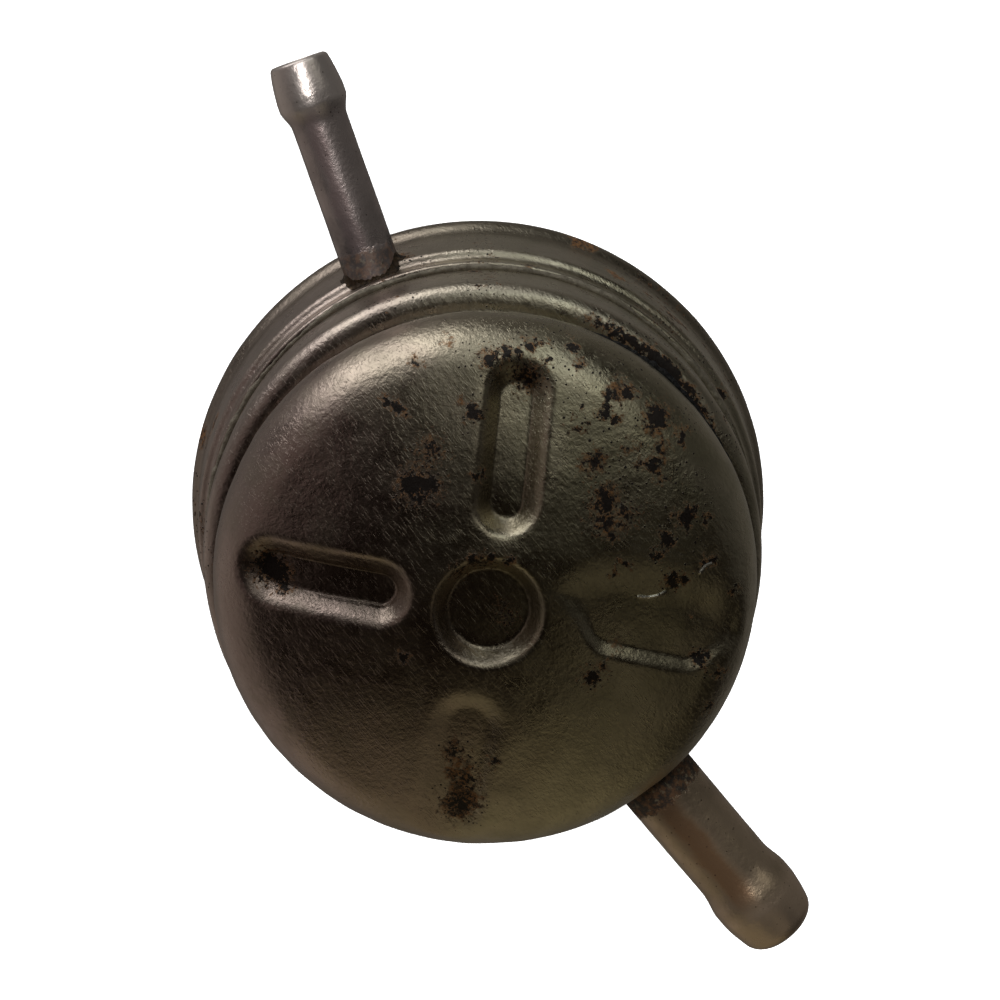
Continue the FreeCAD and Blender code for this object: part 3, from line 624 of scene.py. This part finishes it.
def tube_outline(which):
    """Section of a hose tube with its soft barb, rounded end and open bore."""
    sizes = TUBES[which][1]
    plain, tip, rounding, back = TUBE_SHAPES[which]
    bore, mouth = sizes["bore"], sizes["bore"] + 0.12
    land_top = sizes["barb_at"] + sizes["land"] / 2
    land_foot = sizes["barb_at"] - sizes["land"] / 2
    outer = []
    for at in np.linspace(sizes["root"], land_foot - back - 0.6, 40):
        outer.append((plain, at))
    for share in np.linspace(0, 1, 18):
        at = land_foot - back + share * (back + 0.35)
        outer.append((plain + (sizes["barb"] - plain) * float(smooth(share) ** 1.5), at))
    for share in np.linspace(0.4, 1, 5):
        outer.append((sizes["barb"], land_foot + share * sizes["land"]))
    drop = sizes["barb"] - tip
    tilt = math.atan(1.45 * drop / (sizes["reach"] - rounding - land_top))
    middle_r, middle_z = tip - rounding * math.cos(tilt), sizes["reach"] - rounding
    nose = middle_z + rounding * math.sin(tilt) - land_top
    for share in np.linspace(0, 1, 12)[1:]:
        fall = 0.55 * share + 0.45 * share**2
        outer.append((sizes["barb"] - drop * fall, land_top + share * nose))
    stop = math.acos(max(0.0, (mouth - middle_r) / rounding))
    outer += arc(middle_r, middle_z, rounding, math.degrees(tilt), math.degrees(stop), 10)[1:]
    lip = outer[-1][1]
    inner = [(mouth, lip), (bore, lip - 0.15)]
    inner += [(bore, at) for at in np.linspace(lip - 1.5, sizes["root"], 16)]
    return outer + inner


def make_tube(which):
    """A hose tube along its own axis."""
    place, sizes = TUBES[which]

    def warp(points):
        uneven = 0.6 * waves(points, 9, 31) + 0.4 * waves(points, 2.6, 32)
        return points - outward(points) * (0.022 * np.clip(1 + uneven, 0, 2))[:, None]

    piece = lathe(which + "_pipe", tube_outline(which), 160, warp, place)
    axis, left = tube_axes(which)
    points = points_of(piece)
    ahead, sideways = points @ axis, points @ left
    store(piece, "from_root", (ahead - sizes["root"]) / (sizes["reach"] - sizes["root"]))
    store(piece, "sideways", sideways - sideways.mean())
    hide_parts(which + "_tube")
    return piece


BODY_SIDE = [(WALL_RADIUS, -50.0), (WALL_RADIUS, WALL_TOP)]
BODY_SIDE += arc(WALL_RADIUS - SHOULDER_RADIUS, WALL_TOP, SHOULDER_RADIUS, 5, 90, 12)
BODY_SIDE += [(NECK_RADIUS + NECK_FILLET, WALL_TOP + SHOULDER_RADIUS + 0.02)]
REAR_SIDE = rear_outside()[:-1]


def side_radius(side, heights):
    """The can's outside radius at some heights."""
    r, z = np.array(side).T
    order = np.argsort(z, kind="stable")
    return np.interp(heights, z[order], r[order])


def make_braze(which, side, leg, seed):
    """Lumpy ring of braze that follows the meeting line of a tube and the can's side."""
    place, _ = TUBES[which]
    plain = TUBE_SHAPES[which][0]
    across, rows = 220, 12
    random = np.random.default_rng(seed)
    turn = np.linspace(0, FULL_TURN, across, endpoint=False)
    lump = np.ones(across)
    for wave in range(2, 12):
        lump += random.normal() * 0.45 / wave**0.7 * np.sin(wave * turn + random.uniform(0, 6.28))
    lump = np.clip(lump, 0.45, 1.5)[None, :]
    t = np.linspace(0, math.pi / 2, rows)[:, None]
    away = plain + leg * lump * (1 - np.cos(t))
    rise = leg * lump * (1 - np.sin(t))
    # the ring closes under the tube's skin and under the can's
    level = np.zeros((1, across))
    buried = level + plain - 0.25
    away = np.concatenate([buried, away, away[-1:], buried])
    rise = np.concatenate([rise[:1] - 0.1, rise, level - 0.35, level - 0.6])
    turned = np.array([place @ Vector(p * MM) for p in swept(away, rise * 0, turn)]) / MM
    axis, left = tube_axes(which)
    radius = side_radius(side, turned[:, 2])
    reach = np.sqrt(np.maximum(radius**2 - (turned @ left) ** 2, 1))
    rough = 0.09 * waves(turned, 1.1, seed + 1) + 0.05 * waves(turned, 0.45, seed + 2)
    points = turned + axis * (reach + rise.ravel() + rough * (rise.ravel() > -0.2))[:, None]
    faces = grid_faces(away.shape[0], across, True)
    piece = make_piece(which + "_brazing", points, faces)
    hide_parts(which + "_braze")
    return piece


def uneven_ring(name, node, radius, height, size, seed):
    """Ring of solder whose section grows and shrinks round the can."""
    turns, sides = 720, 12
    random = np.random.default_rng(seed)
    turn = np.linspace(0, FULL_TURN, turns, endpoint=False)
    thick = np.ones(turns)
    for wave in (3, 5, 8, 13, 21, 34, 55, 89):
        thick += random.normal() * 0.16 * np.sin(wave * turn + random.uniform(0, 6.28))
    thick = np.clip(thick, 0.5, 1.45) * size
    around = np.linspace(0, FULL_TURN, sides, endpoint=False)[:, None]
    points = swept(radius + thick * np.cos(around), height + thick * np.sin(around), turn)
    points += outward(points) * (0.04 * waves(points, 0.9, seed + 1))[:, None]
    piece = make_piece(name, points, grid_faces(sides, turns, True))
    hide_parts(node)
    return piece


def make_sealer():
    """Ragged black sealer squeezed out from under part of the cover's edge."""
    start, stop, across, rows = 46.0, 121.0, 900, 10
    angle = np.radians(np.linspace(start, stop, across))
    share = np.linspace(0, 1, across)
    random = np.random.default_rng(7)
    width = np.zeros(across)
    for wave in (3, 5, 8, 13, 21, 34):
        tall = random.normal() * 0.9 / wave**0.6
        width += tall * np.sin(wave * share * 6.28 + random.uniform(0, 6.28))
    # it is widest at 101 degrees and thins out at both ends
    big = bell(np.degrees(angle) - 101, 9.0) + 0.25
    width = np.clip((0.4 + 0.4 * width) * big, 0.04, 0.5)
    width = width * smooth(share * 12) * smooth((1 - share) * 12)
    t = np.linspace(0, FULL_TURN, rows, endpoint=False)[:, None]
    out, up = np.cos(t), np.sin(t)
    r = COVER_RADIUS - 0.35 + np.where(out > 0, out * (width + 0.3), out * 0.35)
    z = COVER_PLANE - 0.75 + 0.3 * up * np.clip(width + 0.3, 0.25, 0.9) - 0.2 * width * out
    points = swept(r, z, angle)
    points += outward(points) * (0.05 * waves(points, 0.7, 8))[:, None]
    faces = []
    for i in range(rows):
        for j in range(across - 1):
            a, b = i * across + j, ((i + 1) % rows) * across + j
            faces.append([a, a + 1, b + 1, b])
    faces.append([i * across for i in range(rows)])
    faces.append([i * across + across - 1 for i in range(rows)][::-1])
    return make_piece("edge_sealer", points, faces)


# ---- materials


class Paint:
    """A node material and short names for the nodes that it uses."""

    def __init__(self, name):
        self.material = bpy.data.materials.new(name)
        self.material.use_nodes = True
        self.tree = self.material.node_tree
        self.shader = self.tree.nodes["Principled BSDF"]
        self.where = self.node("ShaderNodeTexCoord").outputs["Object"]

    def node(self, kind, props=None, inputs=None):
        made = self.tree.nodes.new(kind)
        for key, value in (props or {}).items():
            setattr(made, key, value)
        for key, value in (inputs or {}).items():
            self.put(made.inputs[key], value)
        return made

    def put(self, socket, value):
        if isinstance(value, bpy.types.NodeSocket):
            self.tree.links.new(value, socket)
        else:
            socket.default_value = value

    def stretched(self, scale):
        """The surface's coordinates multiplied along each axis."""
        props = {"operation": "MULTIPLY"}
        return self.node("ShaderNodeVectorMath", props, {0: self.where, 1: scale}).outputs[0]

    def noise(self, scale, detail=3.0, rough=0.55, where=None, twist=0.0):
        inputs = {"Vector": where or self.where, "Scale": scale, "Detail": detail}
        inputs.update({"Roughness": rough, "Distortion": twist})
        return self.node("ShaderNodeTexNoise", None, inputs).outputs["Fac"]

    def cells(self, scale):
        """Distance from the nearest of scattered points, and a random shade for each point."""
        found = self.node("ShaderNodeTexVoronoi", None, {"Vector": self.where, "Scale": scale}).outputs
        return found["Distance"], found["Color"]

    def attribute(self, name):
        return self.node("ShaderNodeAttribute", {"attribute_name": name}).outputs["Fac"]

    def ramp(self, value, low, high, to_low=0.0, to_high=1.0):
        props = {"interpolation_type": "SMOOTHSTEP"}
        inputs = {"Value": value, "From Min": low, "From Max": high}
        inputs.update({"To Min": to_low, "To Max": to_high})
        return self.node("ShaderNodeMapRange", props, inputs).outputs["Result"]

    def math(self, operation, a, b=0.0, clamp=False):
        props = {"operation": operation, "use_clamp": clamp}
        return self.node("ShaderNodeMath", props, {0: a, 1: b}).outputs[0]

    def plus(self, a, b, clamp=False):
        return self.math("ADD", a, b, clamp)

    def minus(self, a, b, clamp=False):
        return self.math("SUBTRACT", a, b, clamp)

    def times(self, a, b, clamp=False):
        return self.math("MULTIPLY", a, b, clamp)

    def most(self, a, b):
        return self.math("MAXIMUM", a, b)

    def ragged(self, value, by, amount):
        """A value moved by an amount times how far a noise is from its middle."""
        return self.plus(value, self.times(self.minus(by, 0.5), amount))

    def mix(self, share, a, b):
        """Colour a where share is 0 and b where it is 1."""
        made = self.node("ShaderNodeMix", {"data_type": "RGBA"}, {0: share})
        for index, value in ((6, a), (7, b)):
            self.put(made.inputs[index], (*value, 1.0) if isinstance(value, tuple) else value)
        return made.outputs[2]

    def bump(self, height, strength, distance, under=None):
        inputs = {"Height": height, "Strength": strength, "Distance": distance}
        if under is not None:
            inputs["Normal"] = under
        return self.node("ShaderNodeBump", None, inputs).outputs["Normal"]

    def finish(self, **sockets):
        for name, value in sockets.items():
            socket = self.shader.inputs[name.replace("_", " ")]
            self.put(socket, (*value, 1.0) if isinstance(value, tuple) else value)
        return self.material


def aged_plate(name, metal, second, mauve, gloss, cover=False):
    """Old plated sheet: two greys and a mauve film, scratches, specks, stains and rust."""
    paint = Paint(name)
    broad = paint.noise(70, 3, 0.6, twist=0.6)
    cloud = paint.noise(240, 4, 0.65)
    fine = paint.noise(1900, 3, 0.65)
    islands = paint.noise(1050, 5, 0.72)
    zone = paint.attribute("rust_zone")
    colour = paint.mix(paint.ramp(broad, 0.38, 0.66), metal, second)
    # the film lies on the side away from the rust
    parts = paint.node("ShaderNodeSeparateXYZ", None, {0: paint.where}).outputs
    side = paint.plus(paint.times(parts["X"], -14.0), paint.times(parts["Y"], -22.0))
    film = paint.ramp(paint.plus(side, paint.times(broad, 0.8)), 0.15, 0.85)
    colour = paint.mix(paint.times(film, 0.85), colour, mauve)
    colour = paint.mix(paint.ramp(cloud, 0.45, 0.75, 0.0, 0.35), colour, tuple(0.55 * c for c in metal))
    # rust: ragged islands and pinholes, thicker in the rusty zones, and the marked spots
    limit = paint.ramp(zone, 0.2, 1.0, 0.80, 0.60)
    over = paint.minus(islands, limit)
    dark = paint.ramp(over, 0.0, 0.02)
    ring = paint.ramp(over, -0.055, 0.01, 0.0, 0.9)
    cells, shades = paint.cells(1900)
    reach = paint.times(shades, paint.ramp(zone, 0.05, 0.6, 0.08, 0.30))
    dark = paint.most(dark, paint.ramp(paint.minus(reach, cells), -0.03, 0.03))
    gap = paint.ragged(paint.attribute("dark_spots"), islands, -4.2)
    gap = paint.ragged(gap, fine, 0.8)
    dark = paint.most(dark, paint.ramp(gap, 0.06, -0.12))
    wide = paint.ragged(paint.attribute("stains"), islands, -5.5)
    wide = paint.ragged(wide, cloud, 2.0)
    stain = paint.most(ring, paint.ramp(wide, 0.2, -0.9, 0.0, 0.9))
    halo = paint.times(paint.ramp(gap, 0.6, 0.0, 0.0, 0.85), paint.ramp(fine, 0.35, 0.58))
    stain = paint.most(stain, halo)
    if cover:
        speckle = paint.noise(2600, 4, 0.7)
        near = paint.plus(paint.times(paint.attribute("clusters"), -0.10), speckle)
        dark = paint.most(dark, paint.ramp(near, 0.575, 0.60))
        stain = paint.most(stain, paint.ramp(near, 0.50, 0.56, 0.0, 0.75))
        # painted shade, patchy like grime: the cover darkens in the creases along the floor edge of
        # each hollow
        patchy = paint.ramp(fine, 0.4, 0.62, 0.15, 0.9)
        grime_and_crease_shade = paint.times(paint.attribute("hollow_edge"), patchy)
        colour = paint.mix(paint.times(grime_and_crease_shade, 0.6), colour, (0.060, 0.045, 0.027))
    else:
        grime_and_crease_shade = paint.ramp(broad, 0.5, 0.75, 0.0, 0.35)
        colour = paint.mix(grime_and_crease_shade, colour, (0.13, 0.105, 0.075))
        # darker towards the bottom of the can
        low = paint.ramp(parts["Z"], 0.0085, 0.0035, 0.0, 0.6)
        colour = paint.mix(low, colour, (0.20, 0.17, 0.13))
    brown = paint.mix(paint.ramp(fine, 0.40, 0.60), (0.055, 0.026, 0.013), (0.42, 0.20, 0.075))
    black = paint.mix(cloud, (0.006, 0.0065, 0.009), (0.030, 0.015, 0.008))
    colour = paint.mix(stain, colour, brown)
    colour = paint.mix(dark, colour, black)
    # short fine scratches, and a few raised ones whose near-white colour is a painted glint
    hair = paint.noise(1.0, 1, 0.5, where=paint.stretched((700, 7200, 2500)))
    hairs = paint.ramp(hair, 0.58, 0.70)
    rough = paint.ramp(cloud, 0.3, 0.75, gloss - 0.04, gloss + 0.10)
    rough = paint.plus(rough, paint.times(hairs, 0.06))
    rough = paint.plus(rough, paint.times(paint.most(stain, dark), 0.28), clamp=True)
    bare = paint.minus(1.0, paint.times(stain, 0.8), clamp=True)
    bare = paint.times(bare, paint.minus(1.0, dark), clamp=True)
    skin = paint.plus(fine, paint.times(hairs, 0.16))
    skin = paint.plus(skin, paint.times(dark, 0.4))
    normal = paint.bump(skin, 0.8, 0.00009)
    if cover:
        # the near-white colour along these scratches is a painted glint; the bump raises them as ridges
        scratch_ridge_glint = paint.ramp(paint.attribute("scratch_gap"), 0.24, 0.04)
        colour = paint.mix(scratch_ridge_glint, colour, (0.9, 0.88, 0.84))
        normal = paint.bump(scratch_ridge_glint, 1.0, 0.00032, under=normal)
    return paint.finish(Base_Color=colour, Metallic=bare, Roughness=rough, Normal=normal)


def tube_metal(name, tones, root_at, root_rust, root_darkening, streak_at, streak_width):
    """Drawn tube: streaks, a root that is darker towards the can with a crust of rust, small pits and a
    painted highlight on the barb.
    """
    metal, second, stain_colour, barb_highlight = tones
    paint = Paint(name)
    cloud = paint.noise(260, 4, 0.6)
    fine = paint.noise(1900, 3, 0.65)
    along = paint.attribute("from_root")
    colour = paint.mix(paint.ramp(cloud, 0.38, 0.68), metal, second)
    off = paint.math("ABSOLUTE", paint.minus(paint.attribute("sideways"), streak_at))
    off = paint.ragged(off, cloud, 2.2)
    streak = paint.ramp(off, streak_width, 0.3 * streak_width)
    fade = paint.times(paint.ramp(along, 0.88, 0.68), streak)
    colour = paint.mix(paint.times(fade, 0.85), colour, stain_colour)
    # painted highlight: the barb is coloured lighter than the shaft
    colour = paint.mix(paint.ramp(along, 0.74, 0.82, 0.0, 0.7), colour, barb_highlight)
    patchy = paint.ramp(cloud, 0.36, 0.58, 0.35, 1.0)
    # darker towards the root, where the tube meets the can
    darker_root = paint.times(paint.ramp(along, 0.42, 0.10), patchy)
    colour = paint.mix(paint.times(darker_root, root_darkening), colour, (0.060, 0.055, 0.058))
    root = paint.ragged(along, fine, 0.09)
    rust = paint.ramp(root, root_at + 0.012, root_at - 0.012, 0.0, root_rust)
    cells, shades = paint.cells(1500)
    pits = paint.ramp(paint.minus(paint.times(shades, 0.16), cells), -0.03, 0.03)
    crumbs = paint.noise(1300, 5, 0.7)
    crust = paint.mix(paint.ramp(crumbs, 0.40, 0.62), (0.014, 0.011, 0.010), (0.13, 0.062, 0.026))
    crust = paint.mix(paint.ramp(fine, 0.56, 0.66, 0.0, 0.6), crust, (0.22, 0.19, 0.13))
    colour = paint.mix(rust, colour, crust)
    colour = paint.mix(paint.times(pits, 0.7), colour, (0.03, 0.02, 0.015))
    rough = paint.ramp(cloud, 0.3, 0.75, 0.27, 0.38)
    rough = paint.plus(rough, paint.times(rust, 0.35), clamp=True)
    bare = paint.minus(0.85, paint.times(rust, 0.7), clamp=True)
    bare = paint.minus(bare, paint.times(fade, 0.3), clamp=True)
    skin = paint.plus(fine, paint.times(rust, 1.2))
    normal = paint.bump(skin, 0.6, 0.00008)
    return paint.finish(Base_Color=colour, Metallic=bare, Roughness=rough, Normal=normal)


def crusty(name, dark, mid, light, rough, metallic, scale=900):
    """Lumpy dirty stuff in three tones: braze, solder and old sealer."""
    paint = Paint(name)
    lumps = paint.noise(scale, 5, 0.65, twist=0.4)
    fine = paint.noise(scale * 3.1, 3, 0.6)
    colour = paint.mix(paint.ramp(lumps, 0.36, 0.6), dark, mid)
    colour = paint.mix(paint.ramp(fine, 0.55, 0.72, 0.0, 0.7), colour, light)
    skin = paint.plus(lumps, paint.times(fine, 0.4))
    gloss = paint.ramp(lumps, 0.35, 0.7, rough + 0.12, rough - 0.10)
    metal = paint.ramp(fine, 0.4, 0.7, metallic * 0.4, metallic)
    normal = paint.bump(skin, 0.8, 0.00022)
    return paint.finish(Base_Color=colour, Metallic=metal, Roughness=gloss, Normal=normal)


def clean_metal(name, tone, second, rough):
    """Plain inner sheet metal with faint rolling lines and handling marks."""
    paint = Paint(name)
    cloud = paint.noise(300, 4, 0.6)
    lines = paint.noise(1.0, 3, 0.6, where=paint.stretched((500, 4200, 500)))
    colour = paint.mix(paint.ramp(cloud, 0.35, 0.7), tone, second)
    gloss = paint.ramp(cloud, 0.3, 0.7, rough - 0.05, rough + 0.1)
    normal = paint.bump(lines, 0.25, 0.00003)
    return paint.finish(Base_Color=colour, Metallic=1.0, Roughness=gloss, Normal=normal)


def matte(name, tone, second, rough, scale, relief):
    """Non-metal with a cloudy tone and a fine skin: rubber, adhesive, paper."""
    paint = Paint(name)
    cloud = paint.noise(scale * 0.2, 4, 0.6)
    fine = paint.noise(scale, 5, 0.7)
    fibres = paint.noise(1.0, 3, 0.6, where=paint.stretched((scale * 0.4, scale * 0.5, scale * 2.5)))
    colour = paint.mix(paint.ramp(cloud, 0.35, 0.7), tone, second)
    colour = paint.mix(paint.ramp(fibres, 0.5, 0.75, 0.0, 0.4), colour, tuple(0.7 * c for c in tone))
    skin = paint.plus(fine, fibres)
    gloss = paint.ramp(fine, 0.3, 0.7, rough + 0.06, rough - 0.06)
    return paint.finish(Base_Color=colour, Roughness=gloss, Normal=paint.bump(skin, 0.6, relief))


def wear(piece, material):
    """Give a piece one material."""
    piece.data.materials.clear()
    piece.data.materials.append(material)


# ---- the object

# Three tones of the plated sheet: metal, second metal and mauve film.
COVER_TONES = ((0.54, 0.495, 0.375), (0.44, 0.41, 0.29), (0.42, 0.325, 0.305))
CAN_TONES = ((0.60, 0.55, 0.445), (0.52, 0.485, 0.37), (0.50, 0.41, 0.385))
# Four tones of a tube: metal, second metal, stain and the barb's painted highlight.
OUTLET_TONES = ((0.52, 0.41, 0.30), (0.42, 0.33, 0.235), (0.22, 0.12, 0.06), (0.64, 0.50, 0.38))
INLET_TONES = ((0.46, 0.40, 0.39), (0.37, 0.32, 0.315), (0.22, 0.165, 0.165), (0.70, 0.64, 0.61))
# Three tones of lumpy stuff: dark, middle and light.
BRAZE_TONES = ((0.012, 0.009, 0.007), (0.075, 0.045, 0.022), (0.22, 0.16, 0.09))
SOLDER_TONES = ((0.26, 0.23, 0.185), (0.40, 0.36, 0.29), (0.50, 0.46, 0.38))
SEALER_TONES = ((0.004, 0.0045, 0.007), (0.012, 0.013, 0.018), (0.035, 0.03, 0.028))
# Two tones of each inner material.
TIN_TONES = ((0.62, 0.62, 0.60), (0.52, 0.52, 0.50))
WIRE_TONES = ((0.36, 0.35, 0.34), (0.28, 0.27, 0.26))
RUBBER_TONES = ((0.035, 0.035, 0.036), (0.05, 0.048, 0.046))
BEDDING_TONES = ((0.60, 0.22, 0.14), (0.52, 0.18, 0.11))
PAPER_TONES = ((0.80, 0.70, 0.45), (0.72, 0.60, 0.36))

cover_metal = aged_plate("cover_plate", *COVER_TONES, 0.29, cover=True)
can_metal = aged_plate("can_plate", *CAN_TONES, 0.30)

wear(make_cover(), cover_metal)
for shell in make_can():
    wear(shell, can_metal)

tube_looks = {
    "outlet": tube_metal("outlet_metal", OUTLET_TONES, 0.235, 0.95, 0.30, -0.6, 2.1),
    "inlet": tube_metal("inlet_metal", INLET_TONES, 0.15, 0.6, 0.75, 0.6, 1.4),
}
tubes = []
for which, look in tube_looks.items():
    tubes.append(make_tube(which))
    wear(tubes[-1], look)

braze_look = crusty("braze_crust", *BRAZE_TONES, 0.55, 0.6)
for which, side, leg, seed in (("outlet", BODY_SIDE, 1.35, 51), ("inlet", REAR_SIDE, 0.55, 61)):
    wear(make_braze(which, side, leg, seed), braze_look)

solder_look = crusty("solder_grey", *SOLDER_TONES, 0.55, 0.6)
for node, radius, height, size, seed in (
    ("cover_solder", NECK_RADIUS + 0.25, 35.0, 0.42, 71),
    ("lap_solder", WALL_RADIUS + 0.08, LIP_TOP - 0.08, 0.44, 81),
):
    wear(uneven_ring(node + "_line", node, radius, height, size, seed), solder_look)

wear(make_sealer(), crusty("sealer_black", *SEALER_TONES, 0.36, 0.0, 1400))

tinplate = clean_metal("tinplate_bright", *TIN_TONES, 0.28)
INNER = {
    "cover_seal": matte("seal_black", *RUBBER_TONES, 0.7, 2600, 0.00004),
    "element_gasket": matte("gasket_black", *RUBBER_TONES, 0.7, 2600, 0.00004),
    "partition_plate": tinplate,
    "upper_end_cap": tinplate,
    "lower_end_cap": tinplate,
    "pleat_clip": tinplate,
    "centre_tube": tinplate,
    "spring_seat": tinplate,
    "element_spring": clean_metal("spring_wire", *WIRE_TONES, 0.35),
    "upper_bedding": matte("plastisol", *BEDDING_TONES, 0.55, 1500, 0.00006),
    "lower_bedding": matte("plastisol_low", *BEDDING_TONES, 0.55, 1500, 0.00006),
    "filter_paper": matte("paper_fibre", *PAPER_TONES, 0.85, 3000, 0.00005),
}
for node, material in INNER.items():
    wear(frame["nodes"][node], material)

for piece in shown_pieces():
    if "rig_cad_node" not in piece:
        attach(piece, "root")

# ---- floor, light and camera


def make_floor():
    """Wide pale floor in metres, which rises softly at its far edge. The object doesn't reflect
    it, and takes no light or shade from it."""
    turns, flat, rise = 96, 1.2, 0.8
    outline = [(r, 0.0) for r in (0.001, 0.05, 0.15, 0.5, flat)]
    for a in np.linspace(0.1, 1.5, 14):
        outline.append((flat + rise * math.sin(a), rise - rise * math.cos(a)))
    turn = np.linspace(0, FULL_TURN, turns, endpoint=False)
    points = [(r * math.cos(a), r * math.sin(a), z) for r, z in outline for a in turn]
    faces = [list(reversed(face)) for face in grid_faces(len(outline), turns, False)]
    faces.append(list(range(turns)))
    mesh = bpy.data.meshes.new("floor")
    mesh.from_pydata(points, [], faces)
    mesh.shade_smooth()
    floor = bpy.data.objects.new("floor", mesh)
    bpy.context.scene.collection.objects.link(floor)
    paint = Paint("floor_pale")
    tone = paint.mix(paint.noise(6, 3), (0.86, 0.86, 0.86), (0.90, 0.90, 0.90))
    glow = {"Emission_Color": (1, 1, 1), "Emission_Strength": 0.55}
    wear(floor, paint.finish(Base_Color=tone, Roughness=0.9, **glow))
    floor.visible_glossy = False
    floor.visible_diffuse = False
    floor.visible_shadow = False
    return floor


def area_light(name, spot, aim, width, power, colour, lit_pieces):
    """Square soft light at a spot, aimed at a point, in metres, that lights only some pieces."""
    data = bpy.data.lights.new(name, "AREA")
    data.size = width
    data.energy = power
    data.color = colour
    light = bpy.data.objects.new(name, data)
    light.location = spot
    light.rotation_mode = "QUATERNION"
    light.rotation_quaternion = (Vector(aim) - Vector(spot)).to_track_quat("-Z", "Y")
    bpy.context.scene.collection.objects.link(light)
    lit = bpy.data.collections.new(name + "_lit")
    for piece in lit_pieces:
        lit.objects.link(piece)
    light.light_linking.receiver_collection = lit


# The tube lights are aimed at this point inside the can.
TUBES_AT = (0, 0, 0.02)
area_light("floor_light", (-0.3, 0.3, 1.6), (0, 0, 0), 1.6, 60, (1, 1, 1), [make_floor()])
area_light("tube_light", (-0.200, 0.055, 0.60), TUBES_AT, 0.07, 0.95, (1, 0.97, 0.92), tubes)
area_light("tube_fill", (-0.40, 0.20, 0.55), TUBES_AT, 0.30, 1.6, (1, 0.97, 0.94), tubes)


def direction(azimuth, zenith):
    """Unit vector at an azimuth from +X and an angle from straight up."""
    a, z = math.radians(azimuth), math.radians(zenith)
    return (math.cos(a) * math.sin(z), math.sin(a) * math.sin(z), math.cos(z))


# Soft panels of light round a dark room: azimuth, angle from straight up, inner and outer
# half-width in degrees, brightness, colour.
PANELS = [
    (168, 97, 8, 30, 1.95, (1.0, 0.985, 0.95)),
    (138, 88, 4, 24, 0.30, (1.0, 0.99, 0.95)),
    (124, 66, 0, 19, 0.95, (0.95, 1.0, 0.93)),
    (8, 48, 0, 24, 0.085, (1.0, 0.88, 0.62)),
    (125, 46, 0, 30, 0.20, (1.0, 0.97, 0.84)),
    (98, 57, 0, 22, 0.34, (1.0, 0.98, 0.86)),
    (-150, 70, 0, 34, 0.14, (1.0, 0.80, 0.74)),
    (-150, 112, 0, 40, 0.08, (1.0, 0.94, 0.92)),
    (-42, 86, 4, 52, 0.17, (1.0, 0.86, 0.54)),
    (60, 96, 4, 36, 0.05, (1.0, 0.97, 0.88)),
    (-100, 104, 6, 48, 0.19, (1.0, 0.87, 0.76)),
    (0, 180, 30, 84, 0.11, (1.0, 0.93, 0.84)),
]
ROOM = (0.0055, 0.0036, 0.0025)


def make_world():
    """Dark room with soft panels."""
    world = bpy.data.worlds.new("room")
    world.use_nodes = True
    bpy.context.scene.world = world
    tree = world.node_tree
    tree.nodes.clear()
    link = tree.links.new
    where = tree.nodes.new("ShaderNodeTexCoord").outputs["Generated"]
    total = tree.nodes.new("ShaderNodeRGB").outputs[0]
    total.default_value = (*ROOM, 1.0)
    for azimuth, zenith, inner, outer, bright, colour in PANELS:
        facing, scaled, added = [tree.nodes.new("ShaderNodeVectorMath") for _ in range(3)]
        facing.operation, scaled.operation, added.operation = "DOT_PRODUCT", "SCALE", "ADD"
        link(where, facing.inputs[0])
        facing.inputs[1].default_value = direction(azimuth, zenith)
        fall = tree.nodes.new("ShaderNodeMapRange")
        fall.interpolation_type = "SMOOTHERSTEP"
        link(facing.outputs["Value"], fall.inputs["Value"])
        fall.inputs["From Min"].default_value = math.cos(math.radians(outer))
        fall.inputs["From Max"].default_value = math.cos(math.radians(inner))
        fall.inputs["To Max"].default_value = bright
        scaled.inputs[0].default_value = colour
        link(fall.outputs[0], scaled.inputs["Scale"])
        link(total, added.inputs[0])
        link(scaled.outputs[0], added.inputs[1])
        total = added.outputs[0]
    sky = tree.nodes.new("ShaderNodeBackground")
    link(total, sky.inputs["Color"])
    link(sky.outputs[0], tree.nodes.new("ShaderNodeOutputWorld").inputs[0])


def make_camera(spot, across, back):
    """Camera at a spot in mm, with the directions to its right and to its back."""
    camera = bpy.data.objects.new("camera", bpy.data.cameras.new("camera"))
    bpy.context.scene.collection.objects.link(camera)
    camera.data.sensor_width = 36.0
    camera.data.lens = 90.0
    camera.data.clip_start = 0.01
    camera.data.clip_end = 10.0
    back = Vector(back).normalized()
    upward = back.cross(Vector(across).normalized()).normalized()
    turn = Matrix((upward.cross(back), upward, back)).transposed().to_4x4()
    camera.matrix_world = Matrix.Translation(Vector(spot) * MM) @ turn
    bpy.context.scene.camera = camera


make_world()
bpy.context.scene.view_settings.view_transform = "Standard"
make_camera((-51.40, 34.95, 282.58), (0.6321, 0.7745, 0.0280), (-0.1825, 0.1136, 0.9766))
